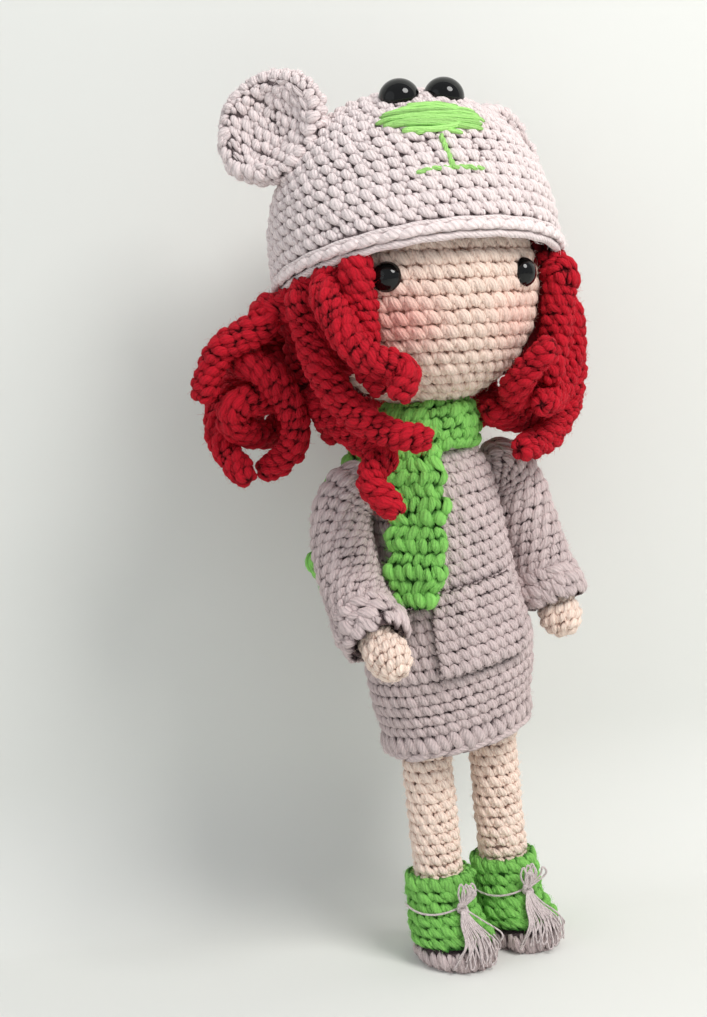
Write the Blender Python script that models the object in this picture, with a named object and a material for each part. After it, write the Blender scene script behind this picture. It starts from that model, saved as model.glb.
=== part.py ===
"""A crocheted doll in a bear-eared hat, scarf, sweater, skirt and boots, built piece by piece.

The doll faces -Y and stands on the ground at z = 0. Its own right side is at -X.
Lengths are metres. Tables whose names end in shares hold shares of the sizes they follow.
"""
import math

import bmesh
import bpy
from mathutils import Matrix, Vector

# Fits
SEAT_GAP = 0.0003
FACET_GAP = 0.0006
WIG_FIT = 0.0011
SCARF_FIT = 0.0009
CUT_OVERRUN = 0.001

# Boots
LEG_SPACING = 0.0246
BOOT_HEIGHT = 0.0285
BOOT_WALL = 0.0029
COLLAR_ROLL = 0.0008
SOLE_LENGTH = 0.0340
SOLE_WIDTH = 0.0238
SOLE_HEEL_HEIGHT = 0.0040
SOLE_TOE_HEIGHT = 0.0078
SOLE_EDGE = 0.0014
HEEL_SETBACK = 0.0112
TASSEL_KNOT_RADIUS = 0.0024
TASSEL_SPREAD = 0.0060
TASSEL_THICKNESS = 0.0019

# Legs, trunk and neck
LEG_RADIUS = 0.0073
LEG_LENGTH = 0.0690
HIP_CLEARANCE = 0.0036
NECK_RADIUS = 0.0085
NECK_REVEAL = 0.0040
NECK_IN_HEAD = 0.0066

# Skirt
SKIRT_LENGTH = 0.0300
SKIRT_WIDTH = 0.0550
SKIRT_DEPTH = 0.0442
SKIRT_WALL = 0.0030
SKIRT_TUCK = 0.0046

# Sweater
SWEATER_HEIGHT = 0.0710
SWEATER_WIDTH = 0.0556
SWEATER_DEPTH = 0.0464
SWEATER_WALL = 0.0030
POCKET_WIDTH = 0.0310
POCKET_HEIGHT = 0.0250
POCKET_WALL = 0.0028
POCKET_RISE = 0.0014

# Arms and sleeves
SHOULDER_HEIGHT_IN_SWEATER = 0.0600
SHOULDER_SETBACK = 0.0020
ARM_LENGTH = 0.0600
SLEEVE_RADIUS = 0.0094
SLEEVE_WALL = 0.0029
CUFF_RADIUS = 0.0106
HAND_RADIUS = 0.0067

# Head, face eyes and stuffing
HEAD_RADIUS = 0.0360
HEAD_WALL = 0.0030
CHIN_CLEARANCE = 0.0074
HEAD_TILT = math.radians(4)
EYE_AZIMUTH = math.radians(38)
EYE_TURN = math.radians(6.8)
EYE_RISE = 0.0036
FACE_EYE_RADIUS = 0.0046
FACE_EYE_HEIGHT = 0.0039
SHANK_RADIUS = 0.0014
SHANK_LENGTH = 0.0085
WASHER_RADIUS = 0.0044
WASHER_THICKNESS = 0.0012

# Wig and hair
WIG_WALL = 0.0045
STRAND_RADIUS = 0.0046
HAIR_LENGTH = 0.0600
HAIRLINE_ANGLE = math.radians(56)
HAIR_TURN = math.radians(1)

# Hat
HAT_WALL = 0.0034
HAT_CROWN = 0.0580
BRIM_LIFT = 0.0036
HAT_TILT = math.radians(15)
HAT_TURN = math.radians(11)
EAR_RADIUS = 0.0182
EAR_THICKNESS = 0.0070
EAR_CUP = 0.0034
EAR_STAND = 0.0408
HAT_EYE_RADIUS = 0.0063
HAT_EYE_HEIGHT = 0.0058
HAT_EYE_SPACING = 0.0148
NOSE_WIDTH = 0.0330
NOSE_HEIGHT = 0.0122
NOSE_THICKNESS = 0.0026
MOUTH_DROP = 0.0108
MOUTH_WIDTH = 0.0200
MOUTH_THREAD = 0.0016

# Scarf
SCARF_WRAP_RADIUS = 0.0162
SCARF_WRAP_DROP = 0.0052
SCARF_WRAP_HEIGHT = 0.0110
SCARF_WIDTH = 0.0170
SCARF_THICKNESS = 0.0044
SCARF_FRONT_LENGTH = 0.0480
SCARF_BACK_LENGTH = 0.0460
SCARF_WAVE = 0.0007
SCARF_FRONT_ANGLE = math.radians(40)
SCARF_FRONT_DRIFT = math.radians(4)

# Counts
ROUND_SIDES = 24
LIMB_SIDES = 12
STRAND_SIDES = 7
SMALL_SIDES = 12
SWEATER_LEVELS = 11
SKIRT_LEVELS = 5
STRANDS_PER_SIDE = 9
HEAD_RINGS = 11

# Outlines: height share, half-width share, half-depth share
SWEATER_outline_shares = [
    (0.000, 1.000, 1.000), (0.070, 0.995, 0.995), (0.170, 0.930, 0.935), (0.350, 0.855, 0.865),
    (0.560, 0.785, 0.795), (0.700, 0.750, 0.720), (0.810, 0.705, 0.640), (0.895, 0.615, 0.555),
    (0.955, 0.515, 0.520), (1.000, 0.425, 0.510),
]
SKIRT_outline_shares = [
    (0.000, 0.880, 0.880), (0.070, 0.892, 0.890), (0.270, 0.908, 0.905), (0.600, 0.985, 0.980),
    (0.780, 1.000, 1.000),
]
# Hat crown: height share, radius share
HAT_outline_shares = [
    (0.000, 0.985), (0.045, 1.018), (0.105, 1.000), (0.260, 0.995), (0.430, 0.955), (0.590, 0.875),
    (0.725, 0.765), (0.845, 0.610), (0.930, 0.420), (0.983, 0.200), (1.000, 0.000),
]
# Boot upper: share of the way down, half-width share between ankle and sole, toe share, heel share
BOOT_outline_shares = [
    (0.17, 0.05, 0.00, 0.00), (0.33, 0.02, 0.02, 0.00), (0.50, 0.25, 0.20, 0.10), (0.66, 0.60, 0.52, 0.45),
    (0.82, 0.90, 0.82, 0.80), (0.93, 1.00, 0.97, 0.97),
]
# Arm routes from the shoulder: shares of the arm length going out, forward and down
RIGHT_ARM_shares = [
    (0.000, 0.000, 0.000), (0.090, 0.000, 0.012), (0.180, 0.000, 0.120), (0.222, 0.050, 0.300),
    (0.245, 0.183, 0.533), (0.250, 0.385, 0.745),
]
RIGHT_HAND_share = (0.232, 0.470, 0.832)
LEFT_ARM_shares = [
    (0.000, 0.000, 0.000), (0.090, 0.000, 0.012), (0.170, 0.000, 0.120), (0.205, 0.033, 0.317),
    (0.242, 0.090, 0.567), (0.268, 0.155, 0.775),
]
LEFT_HAND_share = (0.275, 0.182, 0.866)
# Sleeve radius along its route: share of the route, radius share
SLEEVE_outline_shares = [(0.00, 0.90), (0.15, 0.97), (0.45, 1.00), (0.72, 1.00)]
# Strands, from the hairline to the back: steps from the root out to the left, back and up
RIGHT_STRAND_shares = [
    [
        (0.000, 0.003, -0.078), (0.013, 0.003, -0.157), (0.017, -0.002, -0.236), (0.016, -0.012, -0.316),
        (0.017, -0.024, -0.395),
    ],
    [
        (-0.046, -0.050, -0.055), (-0.062, -0.113, -0.111), (-0.056, -0.169, -0.177), (-0.040, -0.216, -0.249),
        (-0.011, -0.259, -0.319), (0.038, -0.300, -0.376), (0.106, -0.339, -0.411), (0.181, -0.375, -0.434),
    ],
    [
        (-0.050, -0.016, -0.070), (-0.036, -0.038, -0.156), (-0.023, -0.065, -0.241), (-0.013, -0.098, -0.324),
        (0.001, -0.137, -0.404), (0.022, -0.182, -0.479), (0.050, -0.231, -0.549), (0.088, -0.284, -0.611),
        (0.136, -0.338, -0.665), (0.197, -0.390, -0.705), (0.268, -0.437, -0.732), (0.345, -0.479, -0.750),
    ],
    [
        (-0.060, 0.045, -0.029), (-0.105, 0.112, -0.033), (-0.138, 0.085, -0.104), (-0.211, 0.097, -0.141),
        (-0.280, 0.122, -0.179), (-0.337, 0.161, -0.223), (-0.377, 0.199, -0.284), (-0.402, 0.230, -0.355),
        (-0.420, 0.258, -0.431),
    ],
    [
        (0.035, -0.003, -0.080), (0.069, 0.031, -0.150), (0.066, 0.035, -0.237), (0.062, 0.013, -0.320),
        (0.067, -0.033, -0.394), (0.075, -0.090, -0.460), (0.088, -0.154, -0.517), (0.107, -0.225, -0.563),
        (0.128, -0.299, -0.604), (0.153, -0.371, -0.645), (0.183, -0.443, -0.685), (0.211, -0.515, -0.725),
        (0.207, -0.586, -0.771), (0.139, -0.616, -0.812), (0.093, -0.654, -0.874), (0.106, -0.706, -0.931),
        (0.139, -0.765, -0.985),
    ],
    [
        (-0.030, 0.072, -0.038), (-0.049, 0.150, -0.068), (-0.092, 0.222, -0.089), (-0.147, 0.231, -0.154),
        (-0.223, 0.195, -0.175), (-0.284, 0.138, -0.193), (-0.322, 0.061, -0.205), (-0.343, -0.023, -0.215),
        (-0.342, -0.109, -0.225), (-0.312, -0.187, -0.247), (-0.262, -0.231, -0.300), (-0.215, -0.255, -0.369),
        (-0.179, -0.270, -0.446), (-0.152, -0.274, -0.529), (-0.143, -0.260, -0.614), (-0.160, -0.220, -0.688),
        (-0.195, -0.163, -0.741), (-0.237, -0.100, -0.784),
    ],
    [
        (-0.019, 0.077, -0.037), (-0.059, 0.132, -0.090), (-0.091, 0.106, -0.160), (-0.144, 0.051, -0.203),
        (-0.187, -0.005, -0.254), (-0.231, -0.062, -0.303), (-0.279, -0.122, -0.344), (-0.334, -0.182, -0.375),
        (-0.405, -0.229, -0.385), (-0.487, -0.255, -0.385), (-0.562, -0.248, -0.425), (-0.551, -0.210, -0.499),
        (-0.489, -0.174, -0.543), (-0.412, -0.139, -0.563), (-0.334, -0.104, -0.575),
    ],
    [
        (-0.034, 0.076, -0.031), (-0.082, 0.144, -0.061), (-0.135, 0.206, -0.096), (-0.202, 0.241, -0.139),
        (-0.278, 0.233, -0.183), (-0.353, 0.206, -0.224), (-0.427, 0.175, -0.261), (-0.501, 0.141, -0.297),
        (-0.568, 0.099, -0.337), (-0.622, 0.049, -0.387), (-0.660, -0.006, -0.444), (-0.687, -0.064, -0.506),
        (-0.700, -0.125, -0.569), (-0.700, -0.189, -0.630), (-0.690, -0.257, -0.686), (-0.674, -0.327, -0.738),
    ],
    [
        (-0.037, -0.025, -0.079), (-0.081, -0.056, -0.151), (-0.130, -0.094, -0.217), (-0.182, -0.139, -0.277),
        (-0.232, -0.191, -0.331), (-0.277, -0.251, -0.383), (-0.312, -0.318, -0.433), (-0.336, -0.389, -0.483),
        (-0.354, -0.463, -0.533),
    ],
]
LEFT_STRAND_shares = [
    [
        (0.020, -0.065, -0.050), (0.005, -0.061, -0.133), (-0.006, -0.057, -0.216), (-0.015, -0.055, -0.300),
        (-0.027, -0.054, -0.383), (-0.044, -0.054, -0.464), (-0.066, -0.056, -0.546),
    ],
    [
        (0.055, -0.022, -0.064), (0.012, -0.020, -0.140), (-0.008, -0.006, -0.224), (-0.028, 0.002, -0.308),
        (-0.053, 0.006, -0.391), (-0.089, 0.002, -0.470), (-0.139, -0.012, -0.540), (-0.202, -0.041, -0.592),
        (-0.272, -0.084, -0.620), (-0.337, -0.141, -0.617), (-0.362, -0.211, -0.578), (-0.347, -0.273, -0.519),
        (-0.314, -0.323, -0.457), (-0.274, -0.367, -0.393),
    ],
    [
        (0.053, -0.036, -0.062), (0.101, -0.081, -0.122), (0.112, -0.126, -0.196), (0.109, -0.134, -0.285),
        (0.091, -0.144, -0.371), (0.054, -0.168, -0.449), (0.005, -0.207, -0.512), (-0.055, -0.255, -0.557),
        (-0.119, -0.309, -0.587), (-0.185, -0.366, -0.605), (-0.253, -0.423, -0.619),
    ],
    [
        (0.065, -0.022, -0.050), (0.129, -0.044, -0.100), (0.190, -0.067, -0.154), (0.237, -0.091, -0.220),
        (0.248, -0.114, -0.298), (0.233, -0.135, -0.379), (0.211, -0.158, -0.457), (0.181, -0.184, -0.531),
        (0.141, -0.215, -0.599), (0.090, -0.249, -0.657), (0.032, -0.287, -0.705), (-0.032, -0.328, -0.742),
        (-0.100, -0.370, -0.769), (-0.171, -0.413, -0.786), (-0.243, -0.456, -0.796), (-0.315, -0.499, -0.803),
    ],
    [
        (0.058, -0.014, -0.060), (0.115, -0.028, -0.121), (0.163, -0.043, -0.189), (0.187, -0.060, -0.267),
        (0.186, -0.080, -0.349), (0.171, -0.109, -0.427), (0.153, -0.154, -0.496), (0.124, -0.210, -0.552),
        (0.078, -0.267, -0.593), (0.018, -0.322, -0.617), (-0.049, -0.372, -0.627), (-0.122, -0.415, -0.624),
        (-0.196, -0.453, -0.612), (-0.272, -0.486, -0.594), (-0.348, -0.517, -0.575),
    ],
    [
        (0.005, -0.011, -0.088), (0.009, -0.026, -0.177), (0.008, -0.049, -0.263), (0.003, -0.088, -0.343),
        (-0.010, -0.142, -0.412), (-0.035, -0.209, -0.466), (-0.073, -0.279, -0.504), (-0.122, -0.349, -0.531),
        (-0.176, -0.417, -0.553),
    ],
    [
        (0.010, 0.014, -0.083), (0.031, 0.042, -0.160), (0.054, 0.073, -0.236), (0.074, 0.099, -0.314),
        (0.089, 0.119, -0.395), (0.101, 0.138, -0.476), (0.131, 0.176, -0.545), (0.180, 0.243, -0.555),
        (0.208, 0.282, -0.488), (0.212, 0.287, -0.405), (0.207, 0.279, -0.321), (0.198, 0.267, -0.237),
    ],
    [
        (0.003, 0.008, -0.087), (0.011, 0.027, -0.173), (0.022, 0.057, -0.255), (0.033, 0.084, -0.337),
        (0.043, 0.108, -0.421), (0.052, 0.129, -0.506), (0.057, 0.144, -0.592), (0.061, 0.155, -0.679),
        (0.073, 0.185, -0.761), (0.102, 0.257, -0.798), (0.124, 0.313, -0.737), (0.127, 0.321, -0.651),
        (0.123, 0.312, -0.564), (0.117, 0.299, -0.477),
    ],
    [
        (0.002, 0.018, -0.088), (0.006, 0.056, -0.169), (0.010, 0.091, -0.252), (0.014, 0.116, -0.338),
        (0.015, 0.135, -0.426), (0.020, 0.173, -0.507), (0.029, 0.255, -0.539), (0.036, 0.316, -0.475),
        (0.038, 0.328, -0.388), (0.037, 0.322, -0.299), (0.036, 0.312, -0.209),
    ],
]
STRAND_TAPER_START_share = 0.45
STRAND_TAPER_share = 0.17
# Ears on the crown: azimuth from the bear's nose, height share of the crown, outward turn
RIGHT_EAR_shares = (math.radians(84), 0.88, math.radians(40))
LEFT_EAR_shares = (math.radians(-104), 0.70, math.radians(-40))
SCARF_BACK_PIVOT_share = 0.70
NOSE_height_share = 0.660
HAT_EYE_height_share = 0.855
HAT_EYE_TURN = math.radians(-4)

# Colours: red, green, blue, roughness
YARN_PEACH = (0.86, 0.66, 0.56, 0.9)
YARN_MAUVE = (0.50, 0.40, 0.41, 0.9)
YARN_PALE = (0.66, 0.58, 0.58, 0.9)
YARN_RED = (0.42, 0.012, 0.022, 0.9)
YARN_GREEN = (0.20, 0.50, 0.06, 0.9)
FIBREFILL = (0.85, 0.85, 0.83, 1.0)
BLACK_GLOSS = (0.006, 0.006, 0.007, 0.08)
CLEAR_WASHER = (0.75, 0.75, 0.72, 0.35)

# Levels and centres that follow from the sizes above
SOLE_MID = HEEL_SETBACK - SOLE_LENGTH / 2
SOLE_SLOPE = (SOLE_TOE_HEIGHT - SOLE_HEEL_HEIGHT) / SOLE_LENGTH
ANKLE_RADIUS = LEG_RADIUS + SEAT_GAP + BOOT_WALL
FOOT_HEIGHT = SOLE_HEEL_HEIGHT + SOLE_SLOPE * HEEL_SETBACK + SEAT_GAP
LEG_TOP = FOOT_HEIGHT + LEG_LENGTH
TRUNK_BOTTOM = LEG_TOP + SEAT_GAP
SKIRT_BOTTOM = TRUNK_BOTTOM - HIP_CLEARANCE
SKIRT_TOP = SKIRT_BOTTOM + SKIRT_LENGTH
SWEATER_BOTTOM = SKIRT_TOP - SKIRT_TUCK
SWEATER_TOP = SWEATER_BOTTOM + SWEATER_HEIGHT
NECK_PIVOT = SWEATER_TOP + NECK_REVEAL
HEAD_RISE = CHIN_CLEARANCE + HEAD_RADIUS
NECK_TOP = CHIN_CLEARANCE + NECK_IN_HEAD
WIG_INNER = HEAD_RADIUS + WIG_FIT
WIG_OUTER = WIG_INNER + WIG_WALL
HAT_INNER = WIG_OUTER + SEAT_GAP
HAT_RADIUS = HAT_INNER + HAT_WALL
STRAND_RING = WIG_INNER + STRAND_RADIUS
SHOULDER_HEIGHT = SWEATER_BOTTOM + SHOULDER_HEIGHT_IN_SWEATER


def between(low, high, count):
    """Evenly spaced values, both ends included."""
    return [low + (high - low) * k / (count - 1) for k in range(count)]


SWEATER_HEIGHTS = between(SWEATER_BOTTOM, SWEATER_TOP, SWEATER_LEVELS)


def clear_scene():
    """Remove whatever the scene holds."""
    for thing in list(bpy.data.objects):
        bpy.data.objects.remove(thing)


def material(name, colour):
    """One yarn, plastic or filling as a Principled material."""
    made = bpy.data.materials.new(name)
    made.use_nodes = True
    shader = made.node_tree.nodes["Principled BSDF"]
    shader.inputs["Base Color"].default_value = (*colour[:3], 1)
    shader.inputs["Roughness"].default_value = colour[3]
    shader.inputs["Metallic"].default_value = 0
    made.diffuse_color = (*colour[:3], 1)
    return made


def frame(name, parent, matrix):
    """An empty that carries the pieces of one moving group."""
    empty = bpy.data.objects.new(name, None)
    bpy.context.collection.objects.link(empty)
    empty.parent = parent
    empty.matrix_local = matrix
    return empty


def ring(centre, across, along, sides):
    """Points round an ellipse, from its centre and two half-axes."""
    turns = [2 * math.pi * k / sides for k in range(sides)]
    return [centre + across * math.cos(a) + along * math.sin(a) for a in turns]


def flat_ring(half_width, half_depth, height, sides, middle=0):
    """A level ellipse about the Z axis, set forward or back by middle."""
    return ring(Vector((0, middle, height)), Vector((half_width, 0, 0)), Vector((0, half_depth, 0)), sides)


def skin(name, rings, colour, parent, loop=False, strip=False):
    """Join rings of points into one closed body; a ring of one point is a pole.

    The ends are closed by a fan, or for a strip of cloth by crossing straight from side to side.
    """
    bm = bmesh.new()
    made = [[bm.verts.new(p) for p in points] for points in rings]
    pairs = list(zip(made, made[1:]))
    if loop:
        pairs.append((made[-1], made[0]))
    for low, high in pairs:
        sides = max(len(low), len(high))
        for k in range(sides if sides > 1 else 0):
            corners = [low[k % len(low)], low[(k + 1) % len(low)]]
            corners += [high[(k + 1) % len(high)], high[k % len(high)]]
            bm.faces.new(list(dict.fromkeys(corners)))
    if not loop:
        for end in (made[0], made[-1]):
            if strip:
                for k in range(len(end) // 2 - 1):
                    bm.faces.new((end[k], end[k + 1], end[-k - 2], end[-k - 1]))
            elif len(end) > 1:
                middle = bm.verts.new(sum((v.co for v in end), Vector()) / len(end))
                for k, corner in enumerate(end):
                    bm.faces.new((corner, end[(k + 1) % len(end)], middle))
    bmesh.ops.recalc_face_normals(bm, faces=bm.faces)
    mesh = bpy.data.meshes.new(name)
    bm.to_mesh(mesh)
    bm.free()
    mesh.shade_smooth()
    mesh.set_sharp_from_angle(angle=math.radians(50))
    piece = bpy.data.objects.new(name, mesh)
    mesh.materials.append(colour)
    bpy.context.collection.objects.link(piece)
    piece.parent = parent
    return piece


def turned(profile, sides):
    """Rings about the Z axis from (radius, height) pairs; radius zero makes a pole."""
    return [flat_ring(r, r, h, sides) if r > 0 else [Vector((0, 0, h))] for r, h in profile]


def cutter(name, rings, parent):
    """A hidden solid that another piece is cut by."""
    tool = skin(name, rings, None, parent)
    tool.hide_render = True
    tool.display_type = "WIRE"
    return tool


def cut(piece, tool):
    """Take a cutter out of a piece."""
    change = piece.modifiers.new(tool.name, "BOOLEAN")
    change.operation = "DIFFERENCE"
    change.solver = "EXACT"
    change.object = tool


def along_shares(stations, share):
    """Read a table whose first column is a share, with a smooth line between its rows."""
    low = max(0, min(len(stations) - 2, sum(1 for row in stations if row[0] <= share) - 1))
    rows = [stations[max(0, min(len(stations) - 1, low + k))] for k in (-1, 0, 1, 2)]
    span = rows[2][0] - rows[1][0]
    t = (share - rows[1][0]) / span if span else 0
    found = []
    for column in range(1, len(rows[0])):
        before, start, end, after = (row[column] for row in rows)
        leaving = (end - before) * span / max(rows[2][0] - rows[0][0], span)
        arriving = (after - start) * span / max(rows[3][0] - rows[1][0], span)
        found.append(
            (2 * t**3 - 3 * t**2 + 1) * start + (t**3 - 2 * t**2 + t) * leaving
            + (3 * t**2 - 2 * t**3) * end + (t**3 - t**2) * arriving
        )
    return found


def smooth_route(points, steps):
    """A smooth line through points, with so many steps between each pair."""
    line = []
    for k in range(len(points) - 1):
        before, start = points[max(0, k - 1)], points[k]
        end, after = points[k + 1], points[min(len(points) - 1, k + 2)]
        for step in range(steps):
            t = step / steps
            line.append(
                ((-t**3 + 2 * t**2 - t) * before + (3 * t**3 - 5 * t**2 + 2) * start
                 + (-3 * t**3 + 4 * t**2 + t) * end + (t**3 - t**2) * after) / 2
            )
    return line + [points[-1]]


def tangents(line, first=None):
    """The direction of a line at each of its points."""
    found = []
    for k in range(len(line)):
        ahead, behind = line[min(k + 1, len(line) - 1)], line[max(k - 1, 0)]
        found.append((ahead - behind).normalized())
    if first is not None:
        found[:2] = [first.normalized()] * 2
    return found


def swept(line, radii, sides, first=None, flat=1):
    """Round rings along a line, carried without twist; flat squeezes them front to back."""
    ways = tangents(line, first)
    side = ways[0].orthogonal().normalized()
    rings = []
    for point, way, radius in zip(line, ways, radii):
        side = (side - way * side.dot(way)).normalized()
        if radius > 0:
            rings.append(ring(point, side * radius, way.cross(side) * radius * flat, sides))
        else:
            rings.append([point])
    return rings


def sole_plane(y):
    """Height of the seam between sole and upper, which climbs towards the toe."""
    return SOLE_HEEL_HEIGHT + SOLE_SLOPE * (HEEL_SETBACK - y)


def on_plane(points, lift):
    """Set points on the seam between sole and upper."""
    return [Vector((p.x, p.y, sole_plane(p.y) + lift)) for p in points]


def sole_ring(grow, height=0):
    """The outline of the sole, drawn in or let out by grow."""
    return flat_ring(SOLE_WIDTH / 2 + grow, SOLE_LENGTH / 2 + grow, height, ROUND_SIDES, SOLE_MID)


def boot_station(share):
    """Half-width, front and back of the boot's upper at a share of the way down."""
    width, toe, heel = along_shares(BOOT_outline_shares, share)
    half = ANKLE_RADIUS + (SOLE_WIDTH / 2 - ANKLE_RADIUS) * width
    front = ANKLE_RADIUS + (SOLE_LENGTH - HEEL_SETBACK - ANKLE_RADIUS) * toe
    back = ANKLE_RADIUS + (HEEL_SETBACK - ANKLE_RADIUS) * heel
    return half, front, back


def make_boot(side, parent, green, mauve):
    """Sole, upper with its rolled collar, and the yarn tassel tied in front."""
    sole = [sole_ring(-SOLE_EDGE), sole_ring(0, SOLE_EDGE), on_plane(sole_ring(0), 0)]
    skin(f"boot_sole_{side}", sole, mauve, parent)
    rolled = ANKLE_RADIUS + COLLAR_ROLL
    rings = [
        flat_ring(ANKLE_RADIUS, ANKLE_RADIUS, BOOT_HEIGHT, ROUND_SIDES),
        flat_ring(rolled, rolled, BOOT_HEIGHT - COLLAR_ROLL, ROUND_SIDES),
    ]
    for share in (0.17, 0.33, 0.46, 0.58, 0.70):
        half, front, back = boot_station(share)
        middle = (back - front) / 2
        rings.append(flat_ring(half, (front + back) / 2, BOOT_HEIGHT * (1 - share), ROUND_SIDES, middle))
    rings.append(on_plane(sole_ring(0), SEAT_GAP))
    socket = LEG_RADIUS + SEAT_GAP
    rings.append(on_plane(flat_ring(socket, socket, 0, ROUND_SIDES), SEAT_GAP))
    rings.append(flat_ring(socket, socket, BOOT_HEIGHT, ROUND_SIDES))
    skin(f"boot_upper_{side}", rings, green, parent, loop=True)
    knot_way = ANKLE_RADIUS + SEAT_GAP + TASSEL_KNOT_RADIUS
    toe = SOLE_LENGTH - HEEL_SETBACK + SEAT_GAP + TASSEL_THICKNESS
    clear = COLLAR_ROLL + SEAT_GAP
    route = [
        (knot_way + clear, 0.97), (knot_way + clear, 0.80), (knot_way + clear, 0.64),
        (knot_way + (toe - knot_way) * 0.42, 0.51), (toe - SEAT_GAP, 0.37), (toe + clear, 0.22),
    ]
    line = [Vector((0, -out, BOOT_HEIGHT * share)) for out, share in route]
    wide = [0.5, 1.35, 0.9, 1.15, 0.8 * TASSEL_SPREAD / TASSEL_KNOT_RADIUS, TASSEL_SPREAD / TASSEL_KNOT_RADIUS]
    thick = [TASSEL_THICKNESS, TASSEL_THICKNESS, TASSEL_KNOT_RADIUS, TASSEL_THICKNESS]
    thick += [TASSEL_THICKNESS, TASSEL_THICKNESS / 2]
    rings = []
    for point, way, across, deep in zip(line, tangents(line), wide, thick):
        half = Vector((TASSEL_KNOT_RADIUS * across, 0, 0))
        rings.append(ring(point, half, way.cross(half).normalized() * deep, SMALL_SIDES))
    skin(f"boot_tassel_{side}", rings, mauve, parent)


def make_leg(side, parent, colour):
    """A stuffed tube that stands on the boot's sole and ends under the trunk."""
    rings = [on_plane(flat_ring(LEG_RADIUS, LEG_RADIUS, 0, LIMB_SIDES * 2), SEAT_GAP)]
    ankle_share, knee_share, thigh_share = 0.35, 0.62, 0.985
    for share, swell in ((0.12, 1), (ankle_share, 0.985), (knee_share, 1.0), (thigh_share, 0.995)):
        radius = LEG_RADIUS * swell
        rings.append(flat_ring(radius, radius, FOOT_HEIGHT + LEG_LENGTH * share, LIMB_SIDES * 2))
    end = LEG_RADIUS * 0.94
    rings.append(flat_ring(end, end, LEG_TOP, LIMB_SIDES * 2))
    skin(f"leg_{side}", rings, colour, parent)


def sweater_axes(height, inset=0):
    """Half-width and half-depth of the sweater at a height, drawn in by inset."""
    share = max(0, min(1, (height - SWEATER_BOTTOM) / SWEATER_HEIGHT))
    wide, deep = along_shares(SWEATER_outline_shares, share)
    return wide * SWEATER_WIDTH / 2 - inset, deep * SWEATER_DEPTH / 2 - inset


def skirt_axes(height, inset=0):
    """Half-width and half-depth of the skirt, whose top is tucked under the sweater."""
    share = (height - SKIRT_BOTTOM) / SKIRT_LENGTH
    tuck_width, tuck_depth = sweater_axes(SKIRT_TOP, SWEATER_WALL + FACET_GAP)
    if height >= SWEATER_BOTTOM - SEAT_GAP:
        return tuck_width - inset, tuck_depth - inset
    wide, deep = along_shares(SKIRT_outline_shares, min(share, SKIRT_outline_shares[-1][0]))
    return wide * SKIRT_WIDTH / 2 - inset, deep * SKIRT_DEPTH / 2 - inset


def trunk_axes(height):
    """The trunk fills whichever garment is tighter at a height."""
    found = []
    if height > SWEATER_BOTTOM - SKIRT_TUCK:
        found.append(sweater_axes(height, SWEATER_WALL + SEAT_GAP))
    if height < SKIRT_TOP + SKIRT_TUCK:
        nearby = min(height + SKIRT_TUCK, SKIRT_TOP)
        found.append(skirt_axes(nearby, SKIRT_WALL + SEAT_GAP))
        found.append(skirt_axes(min(height, SKIRT_TOP), SKIRT_WALL + SEAT_GAP))
    return min(a for a, b in found), min(b for a, b in found)


def tube(name, heights, axes, wall, colour, parent):
    """A garment open above and below, from a rule for its half-axes."""
    outer = [flat_ring(*axes(h), h, ROUND_SIDES) for h in heights]
    inner = [flat_ring(*axes(h, wall), h, ROUND_SIDES) for h in reversed(heights)]
    return skin(name, outer + inner, colour, parent, loop=True)


def make_trunk(parent, head_frame_matrix, colour):
    """The stuffed body, from the crotch to the neck that stands in the head."""
    rings = []
    heights = between(TRUNK_BOTTOM, SKIRT_TOP, SKIRT_LEVELS)
    heights += [h for h in SWEATER_HEIGHTS if SKIRT_TOP + SEAT_GAP < h < SWEATER_TOP]
    for height in heights:
        wide, deep = trunk_axes(height)
        rings.append(flat_ring(max(wide, NECK_RADIUS), max(deep, NECK_RADIUS), height, ROUND_SIDES))
    rings[0] = flat_ring(*[a * 0.95 for a in trunk_axes(TRUNK_BOTTOM)], TRUNK_BOTTOM, ROUND_SIDES)
    rings.append(flat_ring(NECK_RADIUS, NECK_RADIUS, SWEATER_TOP, ROUND_SIDES))
    for rise in (NECK_REVEAL / 4, NECK_TOP):
        level = flat_ring(NECK_RADIUS, NECK_RADIUS, rise, ROUND_SIDES)
        rings.append([head_frame_matrix @ p for p in level])
    skin("trunk", rings, colour, parent)


def make_clothes(parent, mauve):
    """Skirt, sweater and the pocket on the sweater's front."""
    heights = between(SKIRT_BOTTOM, SKIRT_BOTTOM + SKIRT_LENGTH * SKIRT_outline_shares[-1][0], SKIRT_LEVELS)
    heights += [SWEATER_BOTTOM - SEAT_GAP, SKIRT_TOP]
    tube("skirt", heights, skirt_axes, SKIRT_WALL, mauve, parent)
    tube("sweater", SWEATER_HEIGHTS, sweater_axes, SWEATER_WALL, mauve, parent)
    low, columns = SWEATER_BOTTOM + POCKET_RISE, 9
    high = low + POCKET_HEIGHT
    heights = [low] + [h for h in SWEATER_HEIGHTS if low < h < high] + [high]
    rings = []
    for height in heights:
        wide, deep = sweater_axes(height)
        narrow = 1 - 0.12 * ((height - low) / POCKET_HEIGHT) ** 2
        reach = math.asin(min(0.98, POCKET_WIDTH * narrow / 2 / wide))
        angles = between(-math.pi / 2 - reach, -math.pi / 2 + reach, columns)
        edge = 0.35 if height in (low, high) else 1
        lift = FACET_GAP + POCKET_WALL * edge
        back, face = (
            [Vector(((wide + off) * math.cos(a), (deep + off) * math.sin(a), height)) for a in angles]
            for off in (FACET_GAP, lift)
        )
        rings.append(back + face[::-1])
    skin("pocket", rings, mauve, parent, strip=True)


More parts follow.
